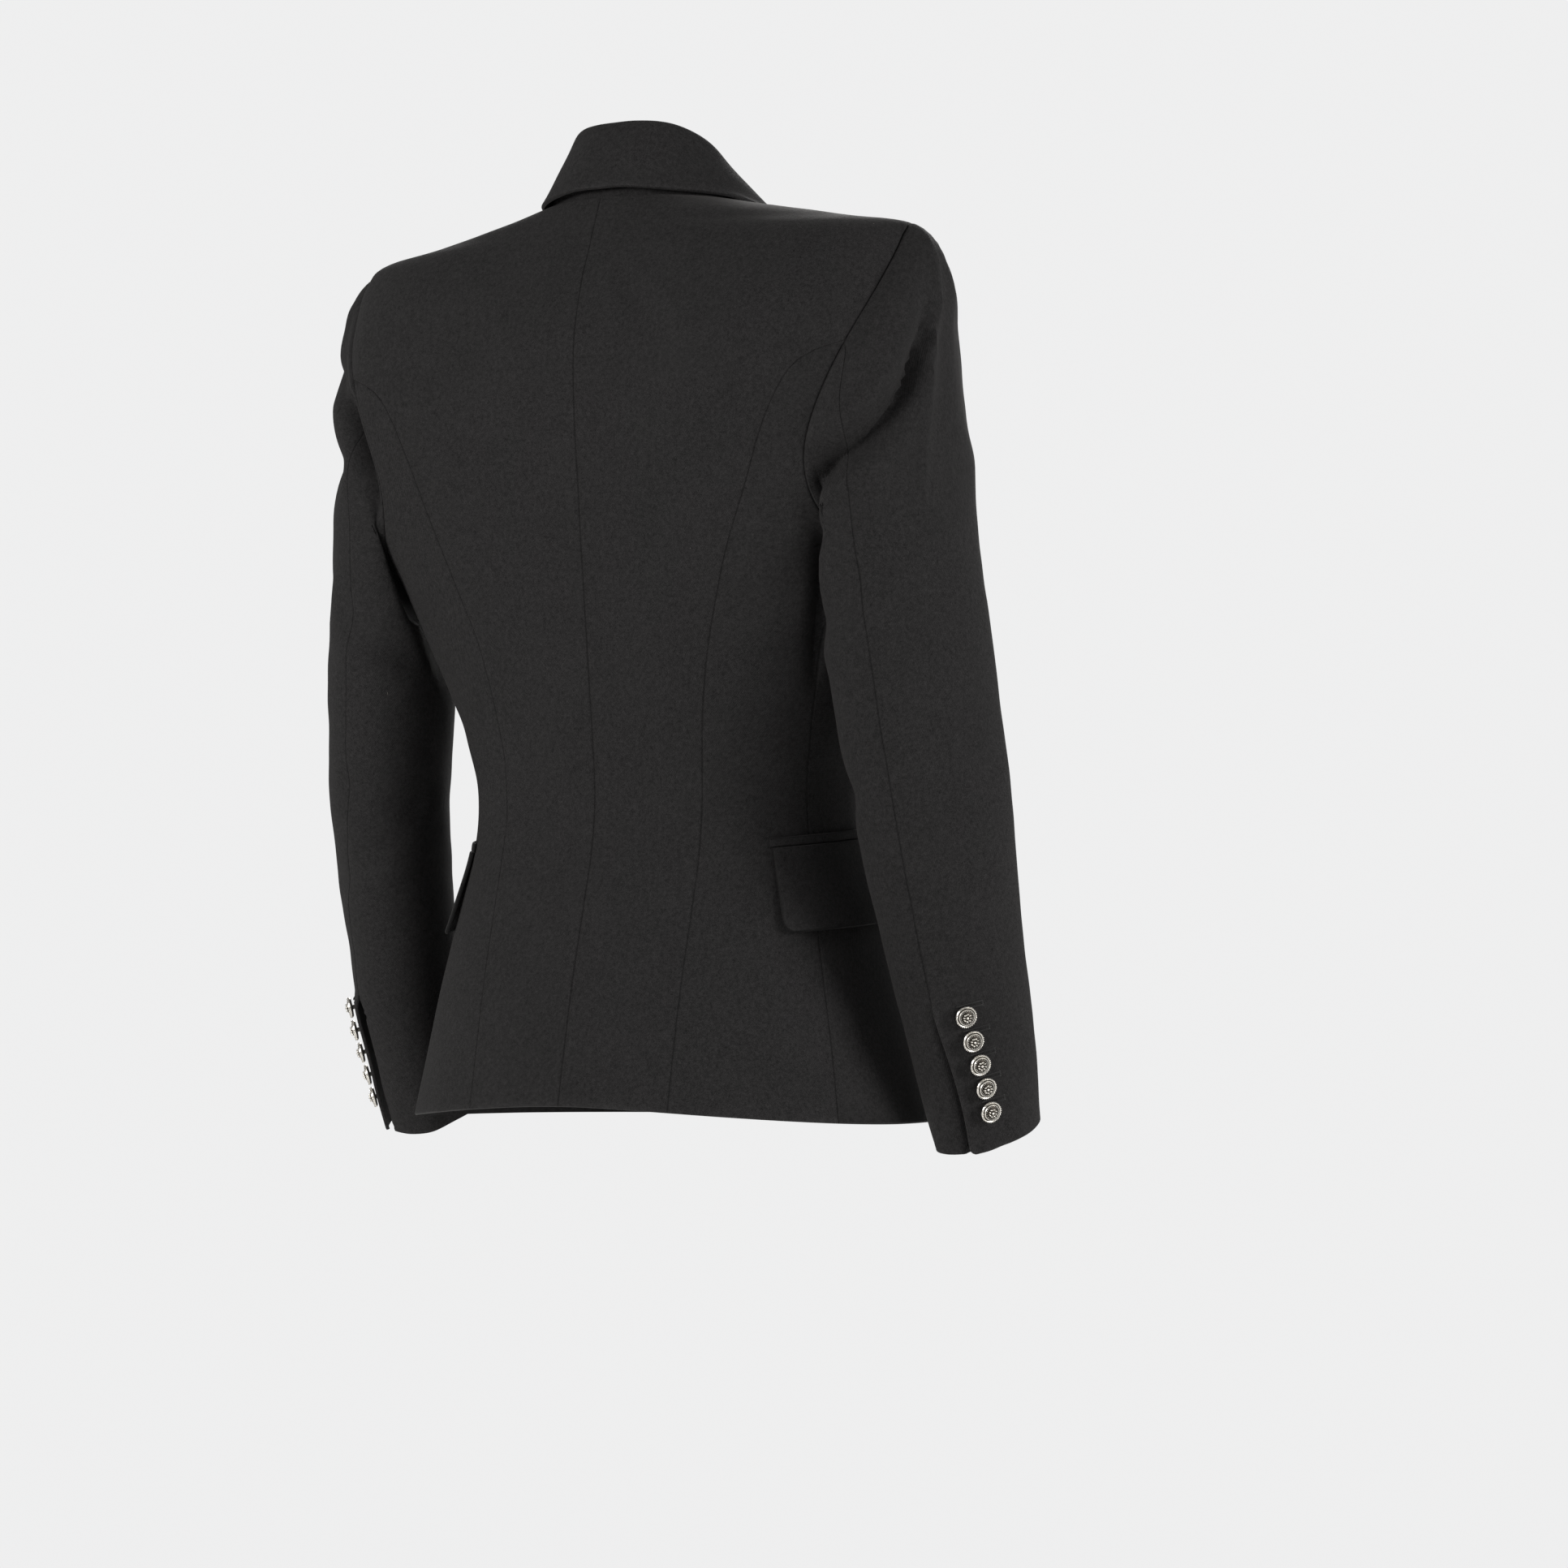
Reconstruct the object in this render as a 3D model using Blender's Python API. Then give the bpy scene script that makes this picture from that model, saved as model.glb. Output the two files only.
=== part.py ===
"""A fitted, single-breasted wool jacket in its worn form, hollow and open at neck, hem and cuffs.

Metres, +Z up. The front faces -Y and the wearer's left is +X. The origin is inside the neck opening,
level with the seam where the collar is sewn on. Angles round the body start at the centre back (0),
pass the side (90) and end at the centre front (180).
"""
import math
from collections import namedtuple

import bpy
from mathutils import Vector

# Driving dimensions
CLOTH = 0.0020
COLLAR_CLOTH = 0.0026
SEAM_GAP = 0.0003
HEM_HEIGHT = -0.595
HEM_DROP = 0.0115
WAIST_HEIGHT = -0.385
ARMHOLE_BOTTOM = -0.238
ARMHOLE_TOP = -0.026
ARMHOLE_STEPS = 14
SHOULDER_HEIGHTS = (-0.0195, -0.013, -0.0065, 0.0)
BODY_ROWS = 12
BACK_COLUMNS = 6
SIDE_COLUMNS = 5
FRONT_COLUMNS = 9
SLIVER = 1.2
OVERLAP = 0.020
GORGE_HEIGHT = -0.080
BREAK_HEIGHT = -0.335
CUFF_BUTTON = 0.015
FRONT_BUTTON = 0.021
BUTTON_SIDES = 12
CUFF_BUTTONS = 5
CUFF_BUTTON_TOP = -0.525
CUFF_BUTTON_LOW = -0.587
CUFF_BUTTON_STEP = 5.05
FRONT_BUTTON_ROWS = (8, 5)

# Level sections of the body: half width, where the side lies, the centre back and the centre front,
# and how square the back and the front of the section are (2 is an ellipse).
BodySection = namedtuple("BodySection", "height half_width side back front back_power front_power")
BODY = (
    BodySection(-0.600, 0.184, -0.027, 0.110, -0.160, 2.1, 2.3),
    BodySection(-0.555, 0.1718, -0.028, 0.101, -0.156, 2.2, 2.3),
    BodySection(-0.510, 0.160, -0.028, 0.091, -0.150, 2.3, 2.3),
    BodySection(-0.465, 0.1475, -0.029, 0.079, -0.142, 2.4, 2.3),
    BodySection(-0.430, 0.1380, -0.029, 0.070, -0.133, 2.5, 2.3),
    BodySection(-0.400, 0.1350, -0.029, 0.066, -0.126, 2.5, 2.3),
    BodySection(-0.375, 0.1375, -0.029, 0.067, -0.124, 2.5, 2.3),
    BodySection(-0.328, 0.1525, -0.028, 0.072, -0.130, 2.6, 2.3),
    BodySection(-0.276, 0.1710, -0.026, 0.078, -0.141, 3.2, 2.3),
    BodySection(-0.229, 0.1850, -0.023, 0.083, -0.143, 4.4, 2.3),
    BodySection(-0.195, 0.1950, -0.020, 0.086, -0.135, 5.0, 2.3),
    BodySection(-0.150, 0.2070, -0.012, 0.091, -0.119, 4.8, 2.4),
    BodySection(-0.100, 0.2120, 0.000, 0.092, -0.098, 4.2, 2.5),
    BodySection(-0.060, 0.2105, 0.006, 0.083, -0.074, 3.0, 2.3),
    BodySection(-0.037, 0.2070, 0.009, 0.074, -0.056, 2.2, 2.0),
    BodySection(-0.026, 0.2015, 0.010, 0.070, -0.046, 1.9, 1.9),
    BodySection(-0.0195, 0.1700, 0.009, 0.0675, -0.040, 1.9, 1.9),
    BodySection(-0.013, 0.1370, 0.007, 0.065, -0.034, 1.95, 1.9),
    BodySection(-0.0065, 0.1030, 0.004, 0.0625, -0.027, 2.0, 1.9),
    BodySection(0.000, 0.0735, 0.000, 0.060, -0.020, 2.1, 1.9),
)

# Half widths of the back at the curved seam, from hem to armhole.
SeamPoint = namedtuple("SeamPoint", "height across")
BACK_SEAM = (
    SeamPoint(-0.600, 0.0765),
    SeamPoint(-0.520, 0.0768),
    SeamPoint(-0.445, 0.0772),
    SeamPoint(-0.385, 0.0768),
    SeamPoint(-0.345, 0.0800),
    SeamPoint(-0.300, 0.0885),
    SeamPoint(-0.250, 0.1045),
    SeamPoint(-0.200, 0.1245),
    SeamPoint(-0.163, 0.1390),
    SeamPoint(-0.135, 0.1530),
    SeamPoint(-0.120, 0.1660),
    SeamPoint(-0.1084, 0.1890),
)

# Angle of the side seam, from hem to armhole.
SidePoint = namedtuple("SidePoint", "height angle")
SIDE_SEAM = (
    SidePoint(-0.600, 69.7),
    SidePoint(-0.490, 70.8),
    SidePoint(-0.410, 72.8),
    SidePoint(-0.326, 70.5),
    SidePoint(-0.280, 69.5),
    SidePoint(-0.255, 73.0),
    SidePoint(-0.238, 80.0),
)

# Inner edge of a front: neckline, then the straight line on which the lapel turns, then the front edge
# that laps past the centre, and the rounded corner at the hem.
FRONT_EDGE = (
    SeamPoint(-0.600, 0.0540),
    SeamPoint(-0.588, 0.0320),
    SeamPoint(-0.574, 0.0140),
    SeamPoint(-0.556, -0.0010),
    SeamPoint(-0.532, -0.0125),
    SeamPoint(-0.500, -OVERLAP),
    SeamPoint(BREAK_HEIGHT - 0.02, -OVERLAP),
    SeamPoint(BREAK_HEIGHT, -OVERLAP + 0.001),
    SeamPoint(GORGE_HEIGHT, 0.0585),
    SeamPoint(-0.060, 0.0640),
    SeamPoint(-0.040, 0.0675),
    SeamPoint(-0.020, 0.0705),
    SeamPoint(0.000, 0.0735),
)

# The arm below the armhole: centre of each section, its half axes, the turn of the wide axis from the
# side towards the front, and how far the section tips forward with the bent arm.
ArmSection = namedtuple("ArmSection", "height across depth wide narrow turn tilt")
ARM = (
    ArmSection(-0.613, 0.2190, -0.064, 0.0388, 0.0312, 60, 22),
    ArmSection(-0.560, 0.2203, -0.046, 0.0425, 0.0340, 60, 20),
    ArmSection(-0.515, 0.2195, -0.031, 0.0456, 0.0360, 60, 18),
    ArmSection(-0.480, 0.2175, -0.022, 0.0485, 0.0375, 60, 15),
    ArmSection(-0.440, 0.2159, -0.0115, 0.0515, 0.0390, 60, 12),
    ArmSection(-0.385, 0.2124, -0.0005, 0.0555, 0.0413, 60, 6),
    ArmSection(-0.320, 0.2058, 0.007, 0.0570, 0.0438, 60, 1),
    ArmSection(-0.270, 0.2000, 0.011, 0.0575, 0.0453, 60, 0),
)
ARM_TOP = ARM[-1].height
ARM_END = ARM[0].height
SLEEVE_END = {"left": -0.6075, "right": -0.613}
VENT_HEIGHT = -0.512
CAP_ROWS = 12
ARM_HEIGHTS = (-0.290, -0.312, -0.336, -0.362, -0.390, -0.420, -0.450, -0.482, VENT_HEIGHT,
               VENT_HEIGHT - 0.013, -0.553, -0.579)

# How far the lower sleeve, with its back seam and vent, is turned towards the outside, and where.
Twist = namedtuple("Twist", "degrees start_height end_height")
TWISTS = {"left": Twist(26.0, -0.380, -0.500), "right": Twist(11.0, -0.500, -0.600)}
BACK_SEAM_STEP = 7
FRONT_SEAM_STEP = 18
RING_STEPS = 2 * ARMHOLE_STEPS
SLEEVE_CLEARANCE = 0.005
CLEARANCE_SOFTNESS = 0.004
VENT_LIFT = 0.0025
VENT_SEAT = 0.0015

# How the sleeve leaves the armhole: how far the cloth stands out before it turns down, at the bottom, and
# how much more at the side and at the top; how much of the height it hangs straight, and how much less in
# front; and how far its outside draws in and its front stands forward.
HEAD_REACH = 0.010
HEAD_REACH_SIDE = 0.012
HEAD_REACH_TOP = 0.023
HEAD_HANG = 0.62
HEAD_HANG_FRONT = 0.26
HEAD_DRAWN_IN = 0.012
HEAD_FORWARD = 0.014
ARMHOLE_BACK = 20.0
ARMHOLE_FRONT = 19.0

# Folds of the sleeves: where each starts and ends (turn round the arm from straight back towards the
# outside, and height), the bow of its path, its half width, and its depth (a ridge is below zero).
Fold = namedtuple("Fold", "start_turn start_height end_turn end_height bow width depth")
FOLDS = {
    "left": (
        Fold(-35, -0.205, 66, -0.104, -0.012, 0.011, 0.0075),
        Fold(5, -0.158, 80, -0.110, 0.000, 0.014, -0.0032),
        Fold(10, -0.183, 100, -0.153, 0.000, 0.017, 0.0090),
        Fold(-60, -0.300, 20, -0.250, 0.006, 0.013, 0.0030),
        Fold(-70, -0.395, 10, -0.375, 0.004, 0.013, 0.0030),
    ),
    "right": (
        Fold(-35, -0.212, 52, -0.100, -0.016, 0.012, 0.0075),
        Fold(-5, -0.160, 40, -0.080, -0.006, 0.012, -0.0030),
        Fold(75, -0.060, 62, -0.230, 0.000, 0.014, -0.0022),
        Fold(-60, -0.290, 15, -0.245, 0.006, 0.013, 0.0030),
        Fold(-70, -0.400, 5, -0.372, 0.004, 0.013, 0.0025),
    ),
}

# The collar, from the centre back round to its front end: the roll line, the free edge, and how far
# the fall swells outwards between them.
CollarRib = namedtuple("CollarRib", "roll_x roll_y roll_z edge_x edge_y edge_z swell")
COLLAR = (
    CollarRib(0.0000, 0.0450, 0.0497, 0.0000, 0.0685, 0.0070, 0.0030),
    CollarRib(0.0150, 0.0440, 0.0496, 0.0190, 0.0675, 0.0068, 0.0030),
    CollarRib(0.0285, 0.0385, 0.0488, 0.0380, 0.0630, 0.0048, 0.0030),
    CollarRib(0.0378, 0.0285, 0.0466, 0.0540, 0.0520, 0.0010, 0.0022),
    CollarRib(0.0448, 0.0158, 0.0425, 0.0670, 0.0355, -0.0010, 0.0018),
    CollarRib(0.0490, 0.0020, 0.0366, 0.0765, 0.0140, -0.0010, 0.0016),
    CollarRib(0.0512, -0.0120, 0.0275, 0.0830, -0.0095, -0.0035, 0.0018),
    CollarRib(0.0540, -0.0260, 0.0155, 0.0930, -0.0305, -0.0165, 0.0028),
    CollarRib(0.0585, -0.0400, 0.0005, 0.1110, -0.0480, -0.0355, 0.0046),
    CollarRib(0.0596, -0.0560, -0.0200, 0.1160, -0.0610, -0.0550, 0.0046),
    CollarRib(0.0592, -0.0700, -0.0430, 0.1150, -0.0700, -0.0710, 0.0040),
    CollarRib(0.0580, -0.0830, -0.0680, 0.1020, -0.0830, -0.0880, 0.0030),
)

# The collar's turn from the stand's top over to the fall: how far inside the roll line, how far below it.
# Then the shares of the way from the roll line to the free edge at which the fall has a row.
COLLAR_TURN = ((0.0034, 0.0065), (0.0034, 0.0025), (0.0018, 0.0004), (-0.0006, 0.0))
FALL_SHARES = (0.10, 0.30, 0.55, 0.80, 1.0)
STAND_SHARES = (0.33, 0.67)
SEAT_INSIDE = CLOTH + 0.0009
FALL_LIFT = COLLAR_CLOTH + 0.0016

# The lapel's turn over the front's edge: how far beyond the turning line, how high above the front.
# Then the shares of the lapel's width at which it has a row, and its lift above the front.
LAPEL_TURN = ((-0.0026, -0.0012), (-0.0036, 0.0010), (-0.0028, 0.0030), (-0.0004, 0.0042))
LAPEL_SHARES = (0.12, 0.3, 0.55, 0.8, 1.0)
LAPEL_LIFT = CLOTH + 0.0009
LAPEL_ROLL_LIFT = 0.0024

# How far the right front stands off the left one where they lap, and how much more where lapels start.
LAP_LIFT = CLOTH + 0.0012
LAP_LIFT_LAPELS = 0.0072

# Rows of a lapel: where each leaves the turning line, and its outer end.
LapelRow = namedtuple("LapelRow", "roll_height edge_x edge_height")
LAPEL = (
    LapelRow(-0.320, -0.0060, -0.3240),
    LapelRow(-0.290, 0.0190, -0.2960),
    LapelRow(-0.255, 0.0455, -0.2610),
    LapelRow(-0.220, 0.0700, -0.2250),
    LapelRow(-0.185, 0.0920, -0.1900),
    LapelRow(-0.150, 0.1105, -0.1560),
    LapelRow(-0.118, 0.1230, -0.1260),
    LapelRow(-0.0840, 0.1300, -0.1030),
)


def smooth_value(table, key, column):
    """Read a column of a table at a key between its rows, on a smooth curve through them."""
    last = len(table) - 1
    low = 0
    while low < last - 1 and key > table[low + 1][0]:
        low += 1
    here, after = table[low], table[low + 1]
    span = after[0] - here[0]
    share = (key - here[0]) / span
    start, end = getattr(here, column), getattr(after, column)

    def slope(index):
        left, right = table[max(index - 1, 0)], table[min(index + 1, last)]
        return (getattr(right, column) - getattr(left, column)) / (right[0] - left[0])

    if share < 0.0 or share > 1.0:
        return start + (end - start) * share
    first, second = slope(low) * span, slope(low + 1) * span
    return (start * (2 * share ** 3 - 3 * share ** 2 + 1) + first * (share ** 3 - 2 * share ** 2 + share)
            + end * (3 * share ** 2 - 2 * share ** 3) + second * (share ** 3 - share ** 2))


def smooth_step(value, low, high):
    """Rise smoothly from 0 at low to 1 at high."""
    share = min(max((value - low) / (high - low), 0.0), 1.0)
    return share * share * (3 - 2 * share)


def blend(start, end, share):
    return start + (end - start) * share


def body_point(angle, height, lift=0.0):
    """A point of the body's outer surface on the left half, or lift further out."""
    if lift:
        return body_point(angle, height) + body_normal(angle, height) * lift
    half_width = smooth_value(BODY, height, "half_width")
    side = smooth_value(BODY, height, "side")
    sine, cosine = math.sin(math.radians(angle)), math.cos(math.radians(angle))
    end, power = ("back", "back_power") if cosine > 0 else ("front", "front_power")
    depth = abs(smooth_value(BODY, height, end) - side)
    power = smooth_value(BODY, height, power)
    reach = (abs(sine / half_width) ** power + abs(cosine / depth) ** power) ** (-1 / power)
    low = max(WAIST_HEIGHT - height, 0.0) / (WAIST_HEIGHT - HEM_HEIGHT)
    drop = HEM_DROP * low ** 2 * smooth_step(angle, 0.0, 90.0)
    return Vector((reach * sine, side + reach * cosine, height - drop))


def body_normal(angle, height):
    """The outward direction of the body's surface."""
    low, high = (height - 0.002, height) if height > -0.002 else (height - 0.001, height + 0.001)
    around = body_point(angle + 0.5, height) - body_point(angle - 0.5, height)
    upward = body_point(angle, high) - body_point(angle, low)
    return upward.cross(around).normalized()


def angle_across(height, across):
    """The angle at which the front of a section lies a given distance from the centre."""
    half_width = smooth_value(BODY, height, "half_width")
    depth = smooth_value(BODY, height, "side") - smooth_value(BODY, height, "front")
    power = smooth_value(BODY, height, "front_power")
    inside = max(1 - min(abs(across) / half_width, 1.0) ** power, 0.0)
    return math.degrees(math.atan2(depth * inside ** (1 / power), across)) + 90


def back_angle_across(height, across):
    """The angle at which the back of a section lies a given distance from the centre."""
    half_width = smooth_value(BODY, height, "half_width")
    depth = smooth_value(BODY, height, "back") - smooth_value(BODY, height, "side")
    power = smooth_value(BODY, height, "back_power")
    inside = max(1 - min(abs(across) / half_width, 1.0) ** power, 0.0)
    return math.degrees(math.atan2(across, depth * inside ** (1 / power)))


def body_reach(depth, height):
    """Half width of the body at a given place from back to front, or 0 outside it."""
    half_width = smooth_value(BODY, height, "half_width")
    from_side = depth - smooth_value(BODY, height, "side")
    end, power = ("back", "back_power") if from_side > 0 else ("front", "front_power")
    length = abs(smooth_value(BODY, height, end) - smooth_value(BODY, height, "side"))
    power = smooth_value(BODY, height, power)
    inside = 1 - (abs(from_side) / length) ** power
    return half_width * inside ** (1 / power) if inside > 0 else 0.0


def armhole(step):
    """Angle and height of the armhole at a step round it: top 0, down the back, bottom 14, up the front."""
    behind = step <= ARMHOLE_STEPS
    turn = math.pi * (ARMHOLE_STEPS - step if behind else step - ARMHOLE_STEPS) / ARMHOLE_STEPS
    middle, half = (ARMHOLE_TOP + ARMHOLE_BOTTOM) / 2, (ARMHOLE_TOP - ARMHOLE_BOTTOM) / 2
    height = middle - half * math.cos(turn)
    centre = blend(SIDE_SEAM[-1].angle, 90.0, (1 - math.cos(turn)) / 2)
    if behind:
        return centre - ARMHOLE_BACK * math.sin(turn) * (1 + 0.60 * math.cos(turn)), height
    return centre + ARMHOLE_FRONT * math.sin(turn) * (1 + 0.30 * math.cos(turn)), height


def place(point, side):
    """Put a point of the left half on the wearer's left (1) or right (-1)."""
    return Vector((point.x * side, point.y, point.z))


def material(name, colour, roughness, metallic):
    finish = bpy.data.materials.new(name)
    finish.use_nodes = True
    surface = finish.node_tree.nodes["Principled BSDF"]
    surface.inputs["Base Color"].default_value = (*colour, 1.0)
    surface.inputs["Roughness"].default_value = roughness
    surface.inputs["Metallic"].default_value = metallic
    return finish


def add_solid(name, points, faces, finish):
    mesh = bpy.data.meshes.new(name)
    mesh.from_pydata([tuple(point) for point in points], [], faces)
    mesh.materials.append(finish)
    mesh.shade_smooth()
    mesh.set_sharp_from_angle(angle=math.radians(40))
    solid = bpy.data.objects.new(name, mesh)
    bpy.context.scene.collection.objects.link(solid)
    return solid


def cloth_wall(name, rows, thickness, finish):
    """Close rows of (outer point, way out) into a wall of cloth, trimmed back by half a seam gap.

    Places in a row that hold None are left out, and points that coincide are joined. The edge's faces
    are split the same way on both sides of a seam, so that the two edges lie side by side.
    """
    index_of, points, outward = {}, [], []

    def index(corner):
        key = tuple(round(value, 5) for value in corner[0])
        if key not in index_of:
            index_of[key] = len(points)
            points.append(corner[0])
            outward.append(corner[1])
        return index_of[key]

    faces = []
    for lower, upper in zip(rows, rows[1:]):
        for column in range(len(lower) - 1):
            corners = (lower[column], lower[column + 1], upper[column + 1], upper[column])
            if None in corners:
                continue
            loop = list(dict.fromkeys(index(corner) for corner in corners))
            if len(loop) > 2:
                faces.append(loop)
    first = faces[len(faces) // 2]
    facing = (points[first[1]] - points[first[0]]).cross(points[first[2]] - points[first[0]])
    if facing.dot(outward[first[0]]) < 0:
        faces = [loop[::-1] for loop in faces]

    edges = {(a, b) for loop in faces for a, b in zip(loop, loop[1:] + loop[:1])}
    rim = [(a, b) for a, b in edges if (b, a) not in edges]
    inward = {}
    for a, b in rim:
        along = (points[b] - points[a]).normalized()
        for end in (a, b):
            inward.setdefault(end, []).append(outward[end].cross(along).normalized())
    trimmed = [point.copy() for point in points]
    for corner, (one, other) in inward.items():
        trimmed[corner] += (one + other) * (SEAM_GAP / 2) / max(1 + one.dot(other), 0.05)
    inner = [point - way * thickness for point, way in zip(trimmed, outward)]
    count = len(points)
    walls = [loop for loop in faces]
    walls += [[corner + count for corner in reversed(loop)] for loop in faces]
    for a, b in sorted(rim):
        if points[a].zxy.to_tuple(4) > points[b].zxy.to_tuple(4):
            walls += [[b, a, b + count], [a, a + count, b + count]]
        else:
            walls += [[b, a, a + count], [b, a + count, b + count]]
    return add_solid(name, trimmed + inner, walls, finish)


def body_corner(angle, height, side, lift=0.0, cut=None):
    """An outer point of a body panel and its way out, for cloth_wall."""
    way = cut or body_normal(angle, height)
    return place(body_point(angle, height, lift), side), place(way, side)


def arm_point(turn, height):
    """A point of the arm's outer surface; turn 0 is straight back, 90 the outside, -90 the inside."""
    wide, narrow = smooth_value(ARM, height, "wide"), smooth_value(ARM, height, "narrow")
    axis = math.radians(smooth_value(ARM, height, "turn"))
    tilt = math.radians(smooth_value(ARM, height, "tilt"))
    way = Vector((math.sin(math.radians(turn)), math.cos(math.radians(turn))))
    along = way.dot(Vector((math.cos(axis), -math.sin(axis))))
    aside = way.dot(Vector((math.sin(axis), math.cos(axis))))
    reach = 1 / math.sqrt((along / wide) ** 2 + (aside / narrow) ** 2)
    point = Vector((smooth_value(ARM, height, "across") + reach * way.x,
                    smooth_value(ARM, height, "depth") + reach * way.y * math.cos(tilt),
                    height - reach * way.y * math.sin(tilt)))
    return clear_of_body(point, SLEEVE_CLEARANCE, CLEARANCE_SOFTNESS)


def clear_of_body(point, clearance, softness):
    """Move a point outwards, softly, where it would come nearer to the body than the clearance."""
    least = body_reach(point.y, point.z) + clearance
    over = (least - point.x) / softness
    if over > 20:
        return Vector((least, point.y, point.z))
    return Vector((point.x + softness * math.log1p(math.exp(over)), point.y, point.z))


def ring_turn(step):
    """The turn round the arm that belongs to a step round the armhole."""
    stations = ((0, 90.0), (BACK_SEAM_STEP, 0.0), (ARMHOLE_STEPS, -90.0), (FRONT_SEAM_STEP, -145.0),
                (FRONT_SEAM_STEP + 3, -198.0), (RING_STEPS, -270.0))
    for (low, start), (high, end) in zip(stations, stations[1:]):
        if step <= high:
            return blend(start, end, (step - low) / (high - low))
    return -270.0


def fold_depth(side_name, turn, height):
    """How far the sleeve's folds press the cloth in."""
    turn = (turn + 180) % 360 - 180
    total = 0.0
    around = 0.050
    for fold in FOLDS[side_name]:
        start = Vector((math.radians(fold.start_turn) * around, fold.start_height))
        end = Vector((math.radians(fold.end_turn) * around, fold.end_height))
        here = Vector((math.radians(turn) * around, height))
        path = end - start
        share = (here - start).dot(path) / path.length_squared
        across = (here - start).cross(path) / path.length
        bowed = across - fold.bow * 4 * share * (1 - share)
        fade = smooth_step(share, -0.10, 0.18) * (1 - smooth_step(share, 0.75, 1.12))
        total += fold.depth * fade * math.exp(-(bowed / fold.width) ** 2)
    return total


def sleeve_base(side_name, step, down):
    """The sleeve's surface without folds: down 0 is the armhole, 1 the top of the arm, 2 the cuff."""
    turn = ring_turn(step)
    if down > 1:
        height = blend(ARM_TOP, ARM_END, down - 1)
        twist = TWISTS[side_name]
        turn += twist.degrees * (1 - smooth_step(height, twist.end_height, twist.start_height))
        return arm_point(turn, height)
    start = body_point(*armhole(step % RING_STEPS))
    end = arm_point(turn, ARM_TOP)
    along = (arm_point(turn, ARM_TOP - 0.004) - end).normalized()
    level = (start.z - ARMHOLE_BOTTOM) / (ARMHOLE_TOP - ARMHOLE_BOTTOM)
    back = math.cos(math.radians(turn)) * math.sin(math.pi * level)
    leave = Vector((1.0 - 0.25 * abs(back), 0.20 * back, -0.22 - 0.48 * (1 - level))).normalized()
    outside, behind = math.sin(math.radians(turn)), math.cos(math.radians(turn))
    reach = (HEAD_REACH + HEAD_REACH_SIDE * smooth_step(level, 0.0, 0.5)
             + HEAD_REACH_TOP * smooth_step(level, 0.5, 1.0))
    reach *= 1 - 1.7 * max(-outside, 0.0) * max(-behind, 0.0)
    hang = (HEAD_HANG + HEAD_HANG_FRONT * min(behind, 0.0)) * (start.z - ARM_TOP)
    one, two = start + leave * reach, end - along * hang
    two += Vector((-HEAD_DRAWN_IN * max(outside, 0.0), -HEAD_FORWARD * max(-behind, 0.0), 0.0))
    rest = 1 - down
    point = (start * rest ** 3 + one * (3 * rest ** 2 * down) + two * (3 * rest * down ** 2)
             + end * down ** 3)
    away = smooth_step(down, 0.0, 0.35)
    cleared = clear_of_body(point, blend(0.0012, SLEEVE_CLEARANCE, away),
                            blend(0.0010, CLEARANCE_SOFTNESS, away))
    return point.lerp(cleared, smooth_step(down, 0.0, 0.06))


def sleeve_normal(side_name, step, down):
    """The outward direction of the sleeve's surface."""
    below = max(down - 0.01, 0.0)
    fall = sleeve_base(side_name, step, down + 0.01) - sleeve_base(side_name, step, below)
    after, before = (step + 0.6) % RING_STEPS, (step - 0.6) % RING_STEPS
    around = sleeve_base(side_name, after, down) - sleeve_base(side_name, before, down)
    return fall.cross(around).normalized()


def sleeve_corner(side_name, step, down, lift=0.0):
    """An outer point of the sleeve with its folds and its way out, for cloth_wall."""
    side = 1 if side_name == "left" else -1
    step = step % RING_STEPS
    normal = sleeve_normal(side_name, step, down)
    point = sleeve_base(side_name, step, down)
    if down == 0:
        angle, height = armhole(step)
        return place(point, side), place(mitre(body_normal(angle, height), normal), side)
    pressed = fold_depth(side_name, ring_turn(step), point.z) * smooth_step(down, 0.0, 0.3)
    return place(point + normal * (lift - pressed), side), place(normal, side)


def mitre(one, other):
    """The way out along which two walls that meet at an edge are both cut."""
    middle = (one + other).normalized()
    return middle / max(middle.dot(one), 0.45)


def armhole_mitre(step):
    angle, height = armhole(step)
    return mitre(body_normal(angle, height), sleeve_normal("left", step % RING_STEPS, 0.0))


def panel_heights():
    """Heights of the panels' rows: hem to armhole, the armhole's steps, and the shoulder."""
    body = [blend(HEM_HEIGHT, ARMHOLE_BOTTOM, row / BODY_ROWS) for row in range(BODY_ROWS)]
    hole = [armhole(ARMHOLE_STEPS - row)[1] for row in range(ARMHOLE_STEPS + 1)]
    return body, hole, list(SHOULDER_HEIGHTS)


def back_seam_angle(height):
    return back_angle_across(height, smooth_value(BACK_SEAM, height, "across"))


def front_lift(side, height, across):
    """The right front lies over the left one where they lap, more so where the lapels start."""
    if side > 0:
        return 0.0
    stack = LAP_LIFT + LAP_LIFT_LAPELS * smooth_step(height, BREAK_HEIGHT - 0.027, BREAK_HEIGHT + 0.003)
    return stack * (1 - smooth_step(across, OVERLAP + 0.004, OVERLAP + 0.045))


def front_edge_angle(height):
    return angle_across(height, smooth_value(FRONT_EDGE, height, "across"))


def front_corner(side, height, across, lift=0.0):
    """An outer point of a front's surface by its distance from the centre."""
    angle = angle_across(height, across)
    return body_corner(angle, height, side, lift + front_lift(side, height, across))


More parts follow.
